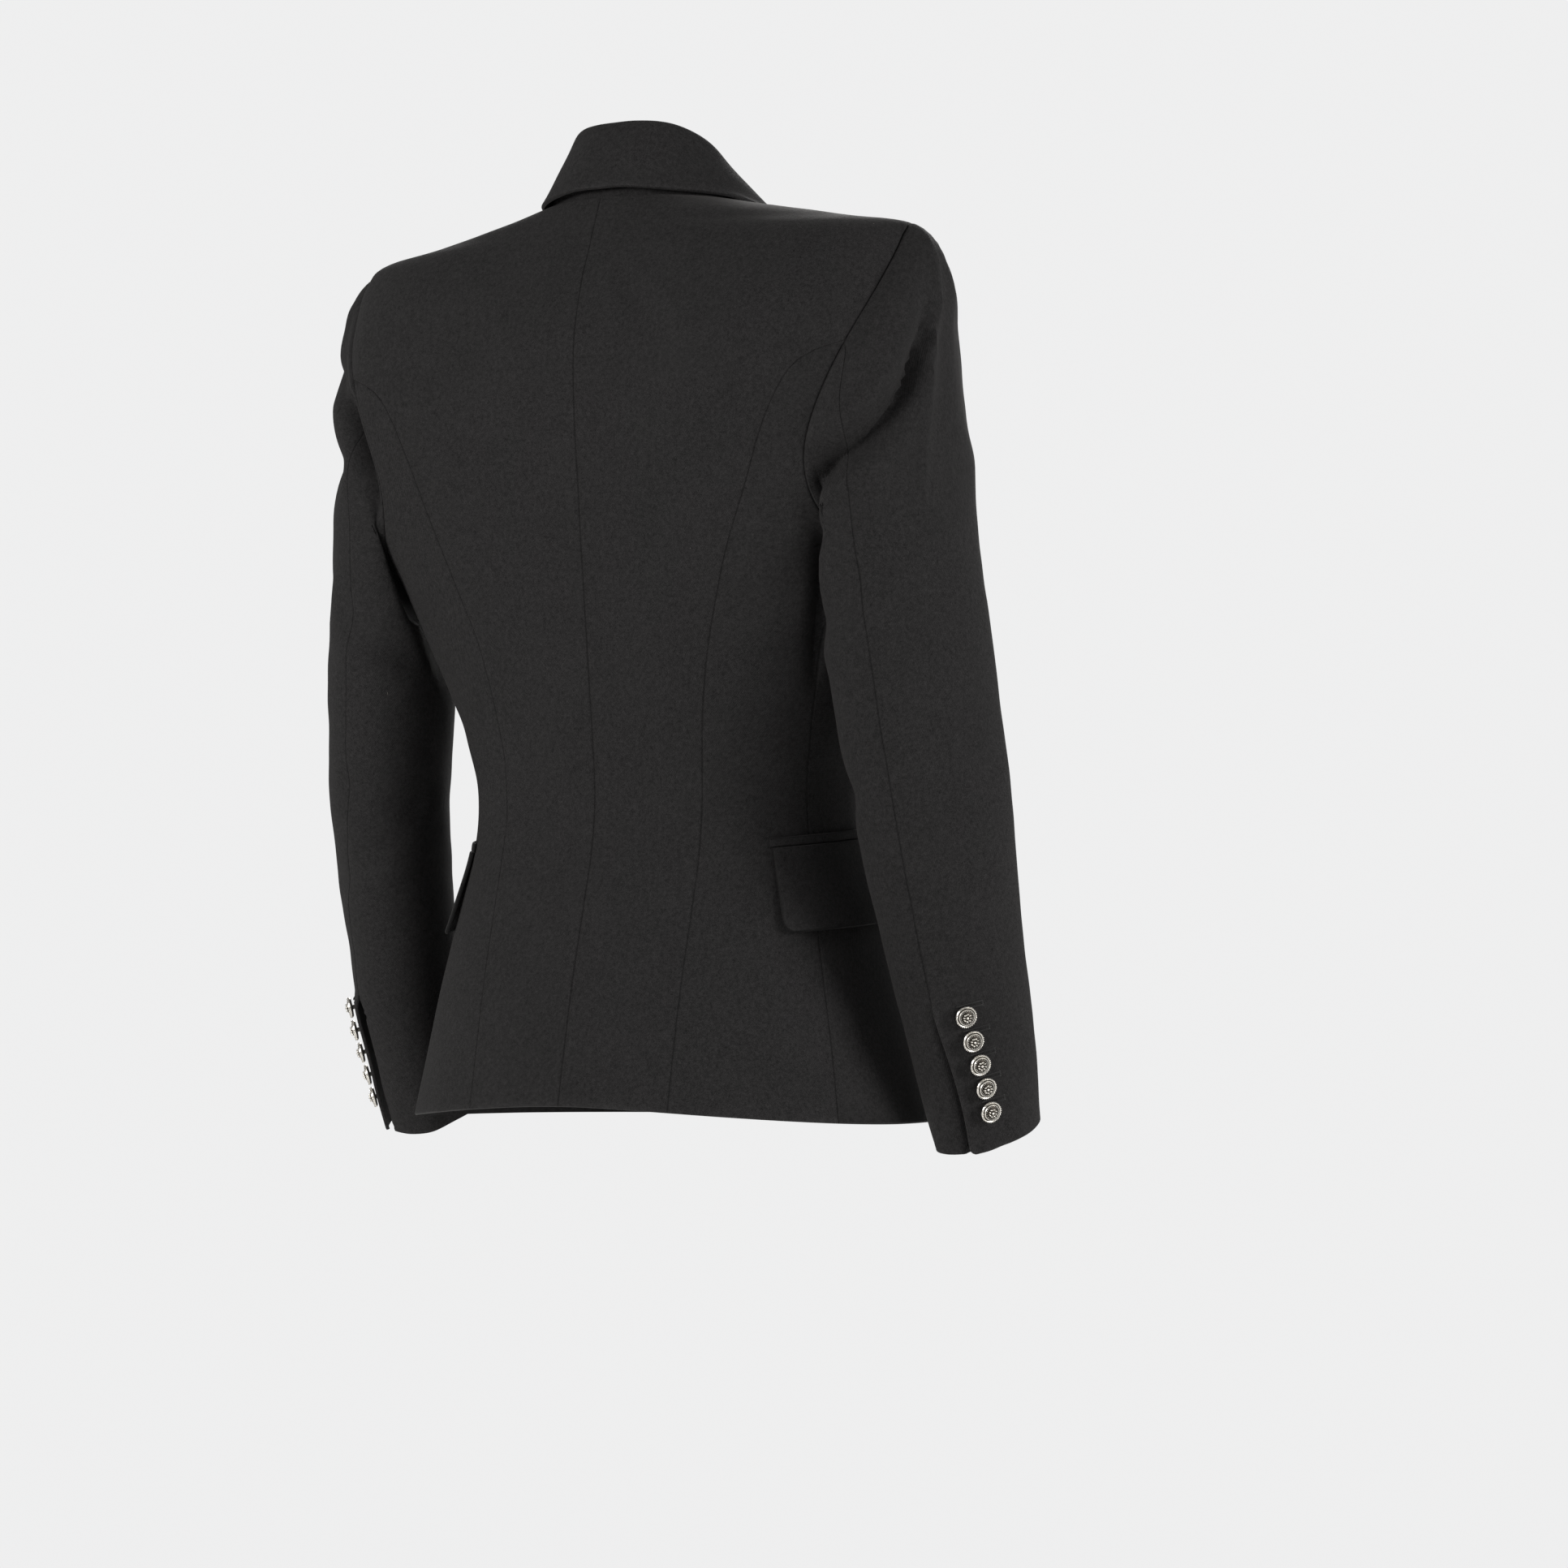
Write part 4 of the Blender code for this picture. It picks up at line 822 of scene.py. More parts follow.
def arm_surface(turn, height):
    """Points of the arm's outer surface; turn 0 is straight back, 90 the outside, -90 the inside."""
    across, depth, wide, narrow, axis, tilt = (smooth_column(ARM, column, height)
                                               for column in ARM[0]._fields[1:])
    axis, tilt = np.radians(axis), np.radians(tilt)
    sine, cosine = np.sin(np.radians(turn)), np.cos(np.radians(turn))
    along = sine * np.cos(axis) - cosine * np.sin(axis)
    aside = sine * np.sin(axis) + cosine * np.cos(axis)
    reach = 1 / np.sqrt((along / wide) ** 2 + (aside / narrow) ** 2)
    points = np.stack((across + reach * sine, depth + reach * cosine * np.cos(tilt),
                       height - reach * cosine * np.sin(tilt)), axis=-1)
    return clear_of_body(points, SLEEVE_CLEARANCE, CLEARANCE_SOFTNESS)


def ring_turn(step):
    """The turn round the arm that belongs to a step round the armhole."""
    stations, turns = zip(*RING_TURNS)
    return np.interp(np.mod(step, RING_STEPS), stations, turns)


def sleeve_surface(twist, step, down):
    """The sleeve without creases: down 0 is the armhole, 1 the top of the arm, 2 its end."""
    step, down = np.broadcast_arrays(np.asarray(step, float), np.asarray(down, float))
    turn = ring_turn(step)
    height = ARM_TOP + (ARM_END - ARM_TOP) * np.maximum(down - 1, 0.0)
    turned = turn + twist.degrees * (1 - smooth_step(height, twist.end_height, twist.start_height))
    arm = arm_surface(turned, height)
    start = body_surface(*armhole(np.mod(step, RING_STEPS)))
    end = arm_surface(turn, np.full(turn.shape, ARM_TOP))
    along = unit(arm_surface(turn, np.full(turn.shape, ARM_TOP - 0.004)) - end)
    level = (start[..., 2] - ARMHOLE_BOTTOM) / (ARMHOLE_TOP - ARMHOLE_BOTTOM)
    outside, behind = np.sin(np.radians(turn)), np.cos(np.radians(turn))
    back = behind * np.sin(math.pi * level)
    leave = unit(np.stack((1.0 - HEAD_LESS_OUT * np.abs(back), HEAD_LEAVES_BACK * back,
                           -HEAD_FALL - HEAD_FALL_PIT * (1 - level)), axis=-1))
    reach = (HEAD_REACH + HEAD_REACH_SIDE * smooth_step(level, 0.0, 0.5)
             + HEAD_REACH_TOP * smooth_step(level, 0.5, 1.0))
    reach = reach * (1 - HEAD_REACH_PIT * np.maximum(-outside, 0.0) * np.maximum(-behind, 0.0))
    hang = (HEAD_HANG + HEAD_HANG_FRONT * np.minimum(behind, 0.0)) * (start[..., 2] - ARM_TOP)
    one = start + leave * reach[..., None]
    two = end - along * hang[..., None]
    two[..., 0] -= HEAD_DRAWN_IN * np.maximum(outside, 0.0)
    two[..., 1] -= HEAD_FORWARD * np.maximum(-behind, 0.0)
    way = np.minimum(down, 1.0)[..., None]
    rest = 1 - way
    cap = start * rest ** 3 + one * (3 * rest ** 2 * way) + two * (3 * rest * way ** 2) + end * way ** 3
    away = smooth_step(down, 0.0, HEAD_AWAY)
    cleared = clear_of_body(cap, HEAD_CLEARANCE + (SLEEVE_CLEARANCE - HEAD_CLEARANCE) * away,
                            HEAD_SOFTNESS + (CLEARANCE_SOFTNESS - HEAD_SOFTNESS) * away)
    cap = cap + (cleared - cap) * smooth_step(down, 0.0, HEAD_CLEARED)[..., None]
    return np.where((down > 1)[..., None], arm, cap)


def sleeve_way(twist, step, down):
    """The outward direction of the sleeve's surface."""
    surface = partial(sleeve_surface, twist)
    fall = surface(step, down + 0.01) - surface(step, np.maximum(down - 0.01, 0.0))
    around = surface(step + 0.6, down) - surface(step - 0.6, down)
    return unit(np.cross(fall, around))


def arm_down(height):
    """How far down the sleeve a height of the arm lies."""
    return 1 + (height - ARM_TOP) / (ARM_END - ARM_TOP)


def sleeve_relief(name, step, down, height):
    """How far the worn sleeve rises above its plain form."""
    turn = ring_turn(step)
    creases = crease_depth(SLEEVE_CREASES[name], turn, height, ARM_RADIUS)
    points = np.stack((np.cos(np.radians(turn)) * ARM_RADIUS, np.sin(np.radians(turn)) * ARM_RADIUS, height),
                      axis=-1)
    rise = unevenness(points, SLEEVE_RIPPLES[name])
    return rise * smooth_step(down, 0.0, 0.12) - creases * smooth_step(down, 0.0, 0.13)


def corner_pull(from_end, radius):
    """How far a rounded corner draws a row in."""
    past = max(radius - from_end, 0.0)
    return radius - math.sqrt(max(radius ** 2 - past ** 2, 0.0))


def sleeve_layer(name, side, starts, ends, downs, middle, pulls, folds, lift):
    """A layer of a sleeve between two steps in each row; pulls and folds are given for both ends."""
    surface = partial(sleeve_surface, TWISTS[name])
    step, down, from_start, from_end = lay_rows(surface, starts, ends, downs, middle, pulls)
    base, way = surface(step, down), sleeve_way(TWISTS[name], step, down)
    along = row_distance(base)
    rise = sleeve_relief(name, step, down, base[..., 2]) + lift(step, down)
    base[:2] -= unit(base[2] - base[1]) * ARMHOLE_LAP
    base[0] -= body_way(*armhole(np.mod(step[0], RING_STEPS))) * ARMHOLE_TURNED_IN
    start_fold, end_fold = (np.asarray(fold)[:, None] for fold in folds)
    below = along[-1:] - along
    drops = [edge_drop(from_start, start_fold), edge_drop(from_end, end_fold), fold_drop(below),
             ARMHOLE_SEAM * seam_drop(along) * (down < 1)]
    # Painted shade darkens the cloth near the sleeve seams and the armhole, but not near a folded edge.
    seam = np.minimum(np.minimum(from_start + start_fold, from_end + end_fold), along) + SEAM_SHADE_OFFSET
    # A folded edge is partly worn and partly lighter with a painted sheen.
    worn = edge_wear_and_sheen(below) + end_fold * edge_wear_and_sheen(from_end) + start_fold * edge_wear_and_sheen(from_start)
    return cloth_layer(base, way, side, rise, drops, CLOTH, from_end, -along, seam, worn)


def vent_lift(step, down):
    """How far the upper sleeve stands over the under one beside the vent."""
    near, curl = smooth_step(step, *LAP_STEPS), smooth_step(step, *CURL_STEPS)
    return (VENT_LIFT * near + VENT_CURL * curl) * smooth_step(down, vent_down, vent_down + VENT_RUN)


def tuck(step, down):
    """How far the under sleeve gives way beneath the edge of the upper one."""
    near = 1 - smooth_step(step, *TUCK_STEPS)
    return -VENT_TUCK * near * smooth_step(down, vent_down + 0.01, vent_down + 2 * VENT_RUN)


vent_down = arm_down(VENT_HEIGHT)
for name, side in SIDES:
    cap = (np.arange(CAP_ROWS) / CAP_ROWS) ** CAP_GRADING
    cap = np.concatenate(((0.0, 0.0), cap[1:]))
    arm_rows = graded(-ARM_TOP, -SLEEVE_END[name], POINT_SPACING, False, True)
    downs = np.concatenate((cap, arm_down(-arm_rows)))
    left_over = -SLEEVE_END[name] - np.concatenate((np.zeros(len(cap)), arm_rows))
    opened = smooth_step(downs, vent_down, vent_down + VENT_RUN)
    tucked = smooth_step(downs, vent_down + VENT_RUN, vent_down + 2 * VENT_RUN)
    closed = np.zeros(len(downs))
    back_seam = BACK_SEAM_STEP - BACK_SEAM_RISE * (1 - smooth_step(downs, 0.0, 0.30))
    upper = sleeve_layer(name, side, np.full(len(downs), FRONT_SEAM_STEP - RING_STEPS), back_seam, downs,
                         UPPER_POINTS, [(0.0, corner_pull(rest, VENT_CORNER)) for rest in left_over],
                         (closed, opened), vent_lift)
    under = sleeve_layer(name, side, back_seam - tucked, np.full(len(downs), FRONT_SEAM_STEP), downs,
                         UNDER_POINTS, [(corner_pull(rest, UNDER_CORNER), 0.0) for rest in left_over],
                         (opened, closed), tuck)
    sew("upper_sleeve_cloth_" + name, upper)
    sew("under_sleeve_cloth_" + name, under)

# Lapels. The top of each front, turned back on a soft roll that is not pressed flat, and faced with the
# same twill; its straight upper edge meets the collar in a notch.
LAPEL_TURN = ((-0.0026, -0.0012), (-0.0036, 0.0010), (-0.0028, 0.0030), (-0.0004, 0.0042))
LAPEL_SHARES = (0.12, 0.3, 0.55, 0.8, 1.0)
LAPEL_LIFT = CLOTH + 0.0009
LAPEL_ROLL_LIFT = 0.0024
LAPEL_FLATTENED = 0.38
LAPEL_FLAT_HEIGHTS = (-0.32, -0.27)
LEAF_ROUNDING = (0.0005, 0.0012, 0.0022)
LEAF_RIPPLES = ((0.00020, 0.040, 8),)
FAR_FROM_SEAM = 0.02
NECK_MIDDLE = np.array((0.0, -0.02, 0.0))
LAPEL = table(
    "roll_height edge_x edge_height",
    (-0.320, -0.0060, -0.3240),
    (-0.290, 0.0190, -0.2960),
    (-0.255, 0.0455, -0.2610),
    (-0.220, 0.0700, -0.2250),
    (-0.185, 0.0920, -0.1900),
    (-0.150, 0.1105, -0.1560),
    (-0.118, 0.1230, -0.1260),
    (-0.0710, 0.1300, -0.1030),
)


def front_place(side, height, across, lift):
    """A point on a front's surface, or lift above it, on the left half."""
    angle = angle_across(height, across)
    rise = lift + front_lift(side, height, across)
    return body_surface(angle, height) + body_way(angle, height) * rise


def finer(grid, parts):
    """Put more rows between those of a grid, on smooth curves through them."""
    first, last = 2 * grid[:1] - grid[1:2], 2 * grid[-1:] - grid[-2:-1]
    held = np.concatenate((first, grid, last))
    rows = []
    for row in range(len(grid) - 1):
        one, two, three, four = held[row:row + 4]
        for share in np.arange(parts) / parts:
            rows.append(0.5 * (2 * two + (three - one) * share
                               + (2 * one - 5 * two + 4 * three - four) * share ** 2
                               + (3 * two - one - 3 * three + four) * share ** 3))
    return np.array(rows + [grid[-1]])


def edged(grid):
    """Draw the outermost rows of a grid nearer to its edge, to round the edge off closely."""
    steps = []
    for distance in LEAF_ROUNDING:
        length = np.maximum(np.linalg.norm(grid[-1] - grid[-2], axis=-1, keepdims=True), 1e-9)
        share = np.minimum(distance / length, 0.30 + 0.2 * len(steps))
        steps.append(grid[-1] + (grid[-2] - grid[-1]) * share)
    return np.concatenate((grid[:-1], np.array(steps[::-1]), grid[-1:]))


def outwards(grid):
    """Level ways out from the middle of the neck."""
    return unit(grid * (1, 1, 0) - NECK_MIDDLE)


def leaf_layer(points, side, hint, thickness, folds):
    """A layer from a grid of outer points on the left half or round the neck.

    Folds are the grid's four edges: first row, last row, first column, last column; 1 is a folded edge,
    0 a seam.
    """
    way = unit(np.cross(np.gradient(points, axis=0), np.gradient(points, axis=1)))
    way = way * np.sign(np.einsum("ijk,ijk->ij", way, hint).mean())
    down, across = lengths_along(points), lengths_along(points, 1)
    apart = (down, down[-1:] - down, across, across[:, -1:] - across)
    drops = [fold_drop(distance) * fold for distance, fold in zip(apart, folds)]
    # A folded edge is partly worn and partly lighter with a painted sheen.
    worn = sum(edge_wear_and_sheen(distance) * fold for distance, fold in zip(apart, folds))
    rise = unevenness(points * (side, 1, 1), LEAF_RIPPLES)
    return cloth_layer(points, way, side, rise, drops, thickness, across, down,
                       np.full(points.shape[:2], FAR_FROM_SEAM), worn)


for name, side in SIDES:
    rows = []
    for entry in LAPEL:
        flat = 1 - LAPEL_FLATTENED * (1 - float(smooth_step(entry.roll_height, *LAPEL_FLAT_HEIGHTS)))
        roll = float(smooth_column(FRONT_EDGE, "across", entry.roll_height))
        row = [front_place(side, entry.roll_height, roll + beyond * flat, height * flat)
               for beyond, height in LAPEL_TURN]
        for share in LAPEL_SHARES:
            level = entry.roll_height + (entry.edge_height - entry.roll_height) * share
            over = LAPEL_LIFT + LAPEL_ROLL_LIFT * flat * (1 - float(smooth_step(share, 0.0, 0.8)))
            row.append(front_place(side, level, roll + (entry.edge_x - roll) * share, over))
        rows.append(row)
    grid = edged(finer(np.array(rows), 9))
    grid = edged(finer(grid.transpose(1, 0, 2), 6)).transpose(1, 0, 2)
    layer = leaf_layer(grid, side, outwards(grid), CLOTH, (1, 1, 0, 1))
    sew("lapel_cloth_" + name, layer)

# Collar. A stand inside the neck, and a fall in one with it that turns over its top and lies on the
# shoulders. Both are twill over stiffened cloth and keep a firm roll; the fall is thicker.
COLLAR_CLOTH = 0.0026
SEAM_GAP = 0.0003
COLLAR_TURN = ((0.0034, 0.0065), (0.0034, 0.0025), (0.0018, 0.0004), (-0.0006, 0.0))
FALL_SHARES = (0.10, 0.30, 0.55, 0.80, 1.0)
STAND_SHARES = (0.2, 0.4, 0.6, 0.8)
STAND_FULLNESS = 0.0026
COLLAR_LEAN = 0.040
SEAT_INSIDE = CLOTH + 0.0009
SEAT_TURNED_IN = 0.0036
FALL_LIFT = COLLAR_CLOTH + 0.0016
FALL_PARTS = 7
COLLAR = table(
    "roll_x roll_y roll_z edge_x edge_y edge_z swell",
    (0.0000, 0.0450, 0.0520, 0.0000, 0.0655, 0.0064, 0.0030),
    (0.0150, 0.0440, 0.0520, 0.0186, 0.0645, 0.0062, 0.0030),
    (0.0288, 0.0385, 0.0513, 0.0370, 0.0602, 0.0048, 0.0030),
    (0.0384, 0.0285, 0.0491, 0.0530, 0.0502, 0.0026, 0.0026),
    (0.0454, 0.0158, 0.0447, 0.0662, 0.0345, 0.0012, 0.0022),
    (0.0494, 0.0020, 0.0382, 0.0760, 0.0140, 0.0002, 0.0018),
    (0.0514, -0.0120, 0.0284, 0.0830, -0.0095, -0.0030, 0.0018),
    (0.0540, -0.0260, 0.0155, 0.0930, -0.0305, -0.0165, 0.0028),
    (0.0585, -0.0400, 0.0005, 0.1110, -0.0480, -0.0355, 0.0046),
    (0.0596, -0.0560, -0.0200, 0.1160, -0.0610, -0.0550, 0.0046),
    (0.0592, -0.0700, -0.0430, 0.1150, -0.0700, -0.0710, 0.0040),
    (0.0580, -0.0830, -0.0680, 0.1020, -0.0800, -0.0830, 0.0030),
)


def off_body(point, lift):
    """Move a point of the left half out until it lies at least a lift above the body's surface."""
    if point[2] > lift:
        return point
    level = min(point[2], 0.0)
    side = float(smooth_column(BODY, "side", level))
    angle = math.degrees(math.atan2(point[0], point[1] - side))
    way = body_way(angle, level)
    height = (point - body_surface(angle, level)) @ way
    return point + way * max(lift - height, 0.0)


def neck_seat(rib):
    """Where the stand ends under a rib: inside the panels, and turned in below their edge at the back."""
    turn = math.degrees(math.atan2(rib.roll_x, rib.roll_y + 0.004))
    if rib.roll_y > -0.006:
        point = body_surface(min(turn, 90.0), 0.0)
    else:
        height = max(-0.9 * (0.0385 - rib.roll_z), GORGE_HEIGHT + 0.004)
        point = body_surface(angle_across(height, smooth_column(FRONT_EDGE, "across", height)), height)
    below = SEAT_TURNED_IN * smooth_step(rib.roll_y, -0.030, -0.006)
    inside = unit(np.array((point[0], point[1] + 0.01, 0.0))) * SEAT_INSIDE
    return point - inside - np.array((0.0, 0.0, below))


half_fall, half_stand = [], []
rolls = np.array([rib[:3] for rib in COLLAR])
for number, rib in enumerate(COLLAR):
    before = rolls[number - 1] if number else rolls[1] * (-1, 1, 1)
    roll, edge = rolls[number], np.array(rib[3:6])
    along = unit(rolls[min(number + 1, len(rolls) - 1)] - before)
    down = unit(edge - roll)
    out = unit(np.cross(along, down))
    out = out * (1 if out[2] + out[1] * 0.2 > 0 else -1)
    level = unit(down * (1, 1, 0))
    turn = [roll - level * inside - np.array((0.0, 0.0, below)) for inside, below in COLLAR_TURN]
    length = np.linalg.norm(edge - roll)
    leaf = [off_body(roll + down * length * share + out * rib.swell * math.sin(math.pi * share ** 0.6),
                     FALL_LIFT) for share in FALL_SHARES]
    half_fall.append(turn + leaf)
    top = turn[0] - np.array((0.0, 0.0, SEAM_GAP))
    seat = neck_seat(rib)
    full = level * STAND_FULLNESS if rib.roll_y > 0 else level * 0.0
    half_stand.append([top] + [top + (seat - top) * share + full * math.sin(math.pi * share ** 1.8)
                               for share in STAND_SHARES] + [seat])
half_fall, half_stand = np.array(half_fall), np.array(half_stand)
lower = half_fall[:, len(COLLAR_TURN) + 1:]
evened = (lower[:-2] + 2 * lower[1:-1] + lower[2:]) / 4
lower[2:-2] = evened[1:-1]
fall, stand = (np.concatenate((half[:0:-1] * (-1, 1, 1), half)) for half in (half_fall, half_stand))
stand = stand[1:-1]
for grid in (fall, stand):
    grid[..., 0] -= COLLAR_LEAN * np.maximum(grid[..., 2], 0.0)
fall = edged(edged(finer(fall, 8))[::-1])[::-1]
fall = edged(finer(fall.transpose(1, 0, 2), FALL_PARTS)).transpose(1, 0, 2)
stand = finer(finer(stand, 8).transpose(1, 0, 2), 6).transpose(1, 0, 2)
hint = outwards(fall)
hint[:, :len(COLLAR_TURN) * FALL_PARTS // 2] = 0.0
sew("collar_fall_cloth", leaf_layer(fall, 1, hint, COLLAR_CLOTH, (1, 1, 0, 1)))
sew("collar_stand_cloth", leaf_layer(stand, 1, outwards(stand), CLOTH, (0, 0, 0, 0)))

# Hip pockets. On each side a flap of doubled twill with rounded corners hangs from under a narrow sewn
# welt, across the side seam.
# The flap's sides and lower edge, and the welt's top edge, are darkened with painted shade for the shadow gap
# round the flap.
POCKET_ANGLE = 61.2
POCKET_HEIGHT = -0.4285
POCKET_POINTS = 38
FLAP_LENGTH = 0.128
FLAP_DEPTH = 0.0545
FLAP_RISE = 0.011
FLAP_CORNER = 0.0085
FLAP_LIFT = CLOTH + 0.0011
FLAP_HANG = 0.0034
FLAP_SPACING = 0.0030
WELT_DEPTH = 0.0065
WELT_CLOTH = 0.0014
WELT_LIFT = WELT_CLOTH + 0.0009
WELT_ROWS = 13
WELT_ENDS = (-0.015, 1.015)
STITCHED_RIDGE = 0.00015
STITCHED_AT = 0.0030
STITCHED_WIDTH = 0.0016
# How much, and how near their edges, the pocket pieces are worn and given a painted sheen.
HIP_WEAR_AND_SHEEN = 0.3
HIP_WEAR_AND_SHEEN_WIDTH = 0.0018
HIP_SPAN = math.degrees(FLAP_LENGTH / BODY_RADIUS)


def hip_place(share, drop):
    """Angle and height along a pocket, a given way below its upper edge."""
    return POCKET_ANGLE + HIP_SPAN * share, POCKET_HEIGHT + FLAP_RISE * share - drop


def hip_surface(share, drop):
    return body_surface(*hip_place(share, drop))


def hip_layer(side, levels, pulls, lifts, thickness, painted_shade_above, ends, round_over):
    """A layer along a pocket, between the two ends of its length, rows from the top down."""
    share, drop, from_start, from_end = lay_rows(hip_surface, np.full(len(levels), ends[0]),
                                                 np.full(len(levels), ends[1]), levels, POCKET_POINTS,
                                                 [(pull, pull) for pull in pulls])
    place = hip_place(share, drop)
    base, way = body_surface(*place), body_way(*place)
    along = row_distance(base)
    below = along[-1:] - along
    drops = [fold_drop(from_start), fold_drop(from_end), fold_drop(below, round_over),
             fold_drop(along, round_over)]
    # Painted shade darkens the flap along its sides and lower edge, or the welt along its top edge; this
    # distance also places the stitched ridge and the rubbed edge.
    close = np.minimum(np.minimum(from_start, from_end), along if painted_shade_above else below)
    rise = (body_relief(side, *place) + np.asarray(lifts)[:, None]
            + STITCHED_RIDGE * np.exp(-((close - STITCHED_AT) / STITCHED_WIDTH) ** 2))
    return cloth_layer(base, way, side, rise, drops, thickness, from_start, -along, close,
                       HIP_WEAR_AND_SHEEN * np.exp(-close / HIP_WEAR_AND_SHEEN_WIDTH))


for name, side in SIDES:
    levels = graded(0.0, FLAP_DEPTH, FLAP_SPACING, True, True)
    flap = hip_layer(side, levels, [corner_pull(FLAP_DEPTH - level, FLAP_CORNER) for level in levels],
                     FLAP_LIFT + FLAP_HANG * (levels / FLAP_DEPTH) ** 1.3, CLOTH, False, (0.0, 1.0), 0.0010)
    sew("pocket_flap_cloth_" + name, flap)
    levels = np.linspace(-WELT_DEPTH, -SEAM_GAP, WELT_ROWS)
    welt = hip_layer(side, levels, np.zeros(WELT_ROWS), np.full(WELT_ROWS, WELT_LIFT), WELT_CLOTH, True,
                     WELT_ENDS, 0.0012)
    sew("pocket_welt_cloth_" + name, welt)

# Buttons. Cast and silvered, with a shank: five beside each cuff's vent and two on the centre front. A
# rope runs round the rim, and a plain rosette stands on the dome; the hollows are darkened with age.
CUFF_BUTTON = 0.0145
FRONT_BUTTON = 0.021
BUTTON_SIDES = 56
BUTTON_SHARP_ANGLE = math.radians(60)
BUTTON_LEAN = {"left": -0.06, "right": 0.30}
CUFF_BUTTON_HEIGHTS = np.linspace(-0.525, -0.587, 5)
CUFF_BUTTON_STEP = 5.05
VENT_SEAT = 0.0015
FRONT_BUTTON_HEIGHTS = (-0.357, -0.44625)
BUTTON_PROFILE = table(
    "share height dark",
    (0.00, 0.0004, 0.9),
    (0.21, 0.0004, 0.8),
    (0.21, 0.0021, 0.7),
    (0.80, 0.0023, 0.30),
    (0.95, 0.0029, 0.15),
    (1.00, 0.0036, 0.05),
    (0.98, 0.0043, 0.00),
    (0.92, 0.0048, 0.00),
    (0.85, 0.0047, 0.15),
    (0.81, 0.0043, 1.05),
    (0.78, 0.0040, 1.20),
    (0.75, 0.0047, 0.70),
    (0.71, 0.0053, 0.00),
    (0.67, 0.0053, 0.30),
    (0.64, 0.0048, 1.15),
    (0.50, 0.0055, 1.05),
    (0.30, 0.0061, 1.00),
    (0.12, 0.0064, 0.95),
    (0.00, 0.0065, 0.90),
)


def button_blank(diameter):
    """The turned body of a button, facing up, with how dark its hollows are."""
    bottom, *rings, top = BUTTON_PROFILE
    turns = np.arange(BUTTON_SIDES) / BUTTON_SIDES * 2 * math.pi
    points, dark = [(0.0, 0.0, bottom.height)], [bottom.dark]
    for ring in rings:
        reach = ring.share * diameter / 2
        points += [(reach * math.cos(turn), reach * math.sin(turn), ring.height) for turn in turns]
        dark += [ring.dark] * BUTTON_SIDES
    points.append((0.0, 0.0, top.height))
    dark.append(top.dark)
    faces = []
    for turn in range(BUTTON_SIDES):
        after = (turn + 1) % BUTTON_SIDES
        faces.append((0, 1 + after, 1 + turn))
        for low in range(1, len(points) - 1 - BUTTON_SIDES, BUTTON_SIDES):
            high = low + BUTTON_SIDES
            faces.append((low + turn, low + after, high + after, high + turn))
        last = len(points) - 1 - BUTTON_SIDES
        faces.append((last + turn, last + after, len(points) - 1))
    mesh = bpy.data.meshes.new("button_blank")
    mesh.from_pydata(points, [], faces)
    mesh.attributes.new("dark", "FLOAT", "POINT").data.foreach_set("value", dark)
    mesh.shade_smooth()
    mesh.set_sharp_from_angle(angle=BUTTON_SHARP_ANGLE)
    return show("button_blank", mesh)


def maker_tree(name, inputs):
    """An empty Geometry Nodes tree with a geometry in and out, a finish, and named numbers."""
    return new_tree("GeometryNodeTree", name, {"Geometry": "Geometry", **inputs, "Finish": "Material"},
                    {"Geometry": "Geometry"})


def chain(tree, geometry, *steps):
    """Pass a geometry through a row of nodes, each given by its kind, inputs and settings."""
    for kind, inputs, *settings in steps:
        geometry = put(tree, kind, {"Geometry": geometry, **inputs}, **dict(*settings)).outputs[0]
    return geometry


def bead_ring(tree, count, radius, height, size, turn, dark):
    """Beads set round a circle, each turned to face the middle."""
    circle = put(tree, "MeshCircle", {"Vertices": count, "Radius": radius}).outputs[0]
    place = put(tree, "InputPosition").outputs[0]
    turned = put(tree, "FunctionNodeAlignRotationToVector", {"Vector": place}, axis="X").outputs[0]
    ball = put(tree, "MeshUVSphere", {"Segments": 10, "Rings": 6, "Radius": 1.0}).outputs[0]
    bead = chain(tree, ball, ("Transform", {"Scale": size, "Rotation": turn}), ("SetShadeSmooth", {}),
                 ("StoreNamedAttribute", {"Name": "dark", "Value": dark},
                  {"data_type": "FLOAT", "domain": "POINT"}))
    lifted = chain(tree, circle, ("Transform", {"Translation": height}))
    return put(tree, "InstanceOnPoints", {"Points": lifted, "Instance": bead, "Rotation": turned}).outputs[0]


def finished(tree, geometry, given, result):
    """Realize what was built, give it its finish, and end the tree."""
    feed(tree, result, {"Geometry": chain(tree, geometry, ("RealizeInstances", {}),
                                          ("SetMaterial", {"Material": given["Finish"]}))})
    return tree


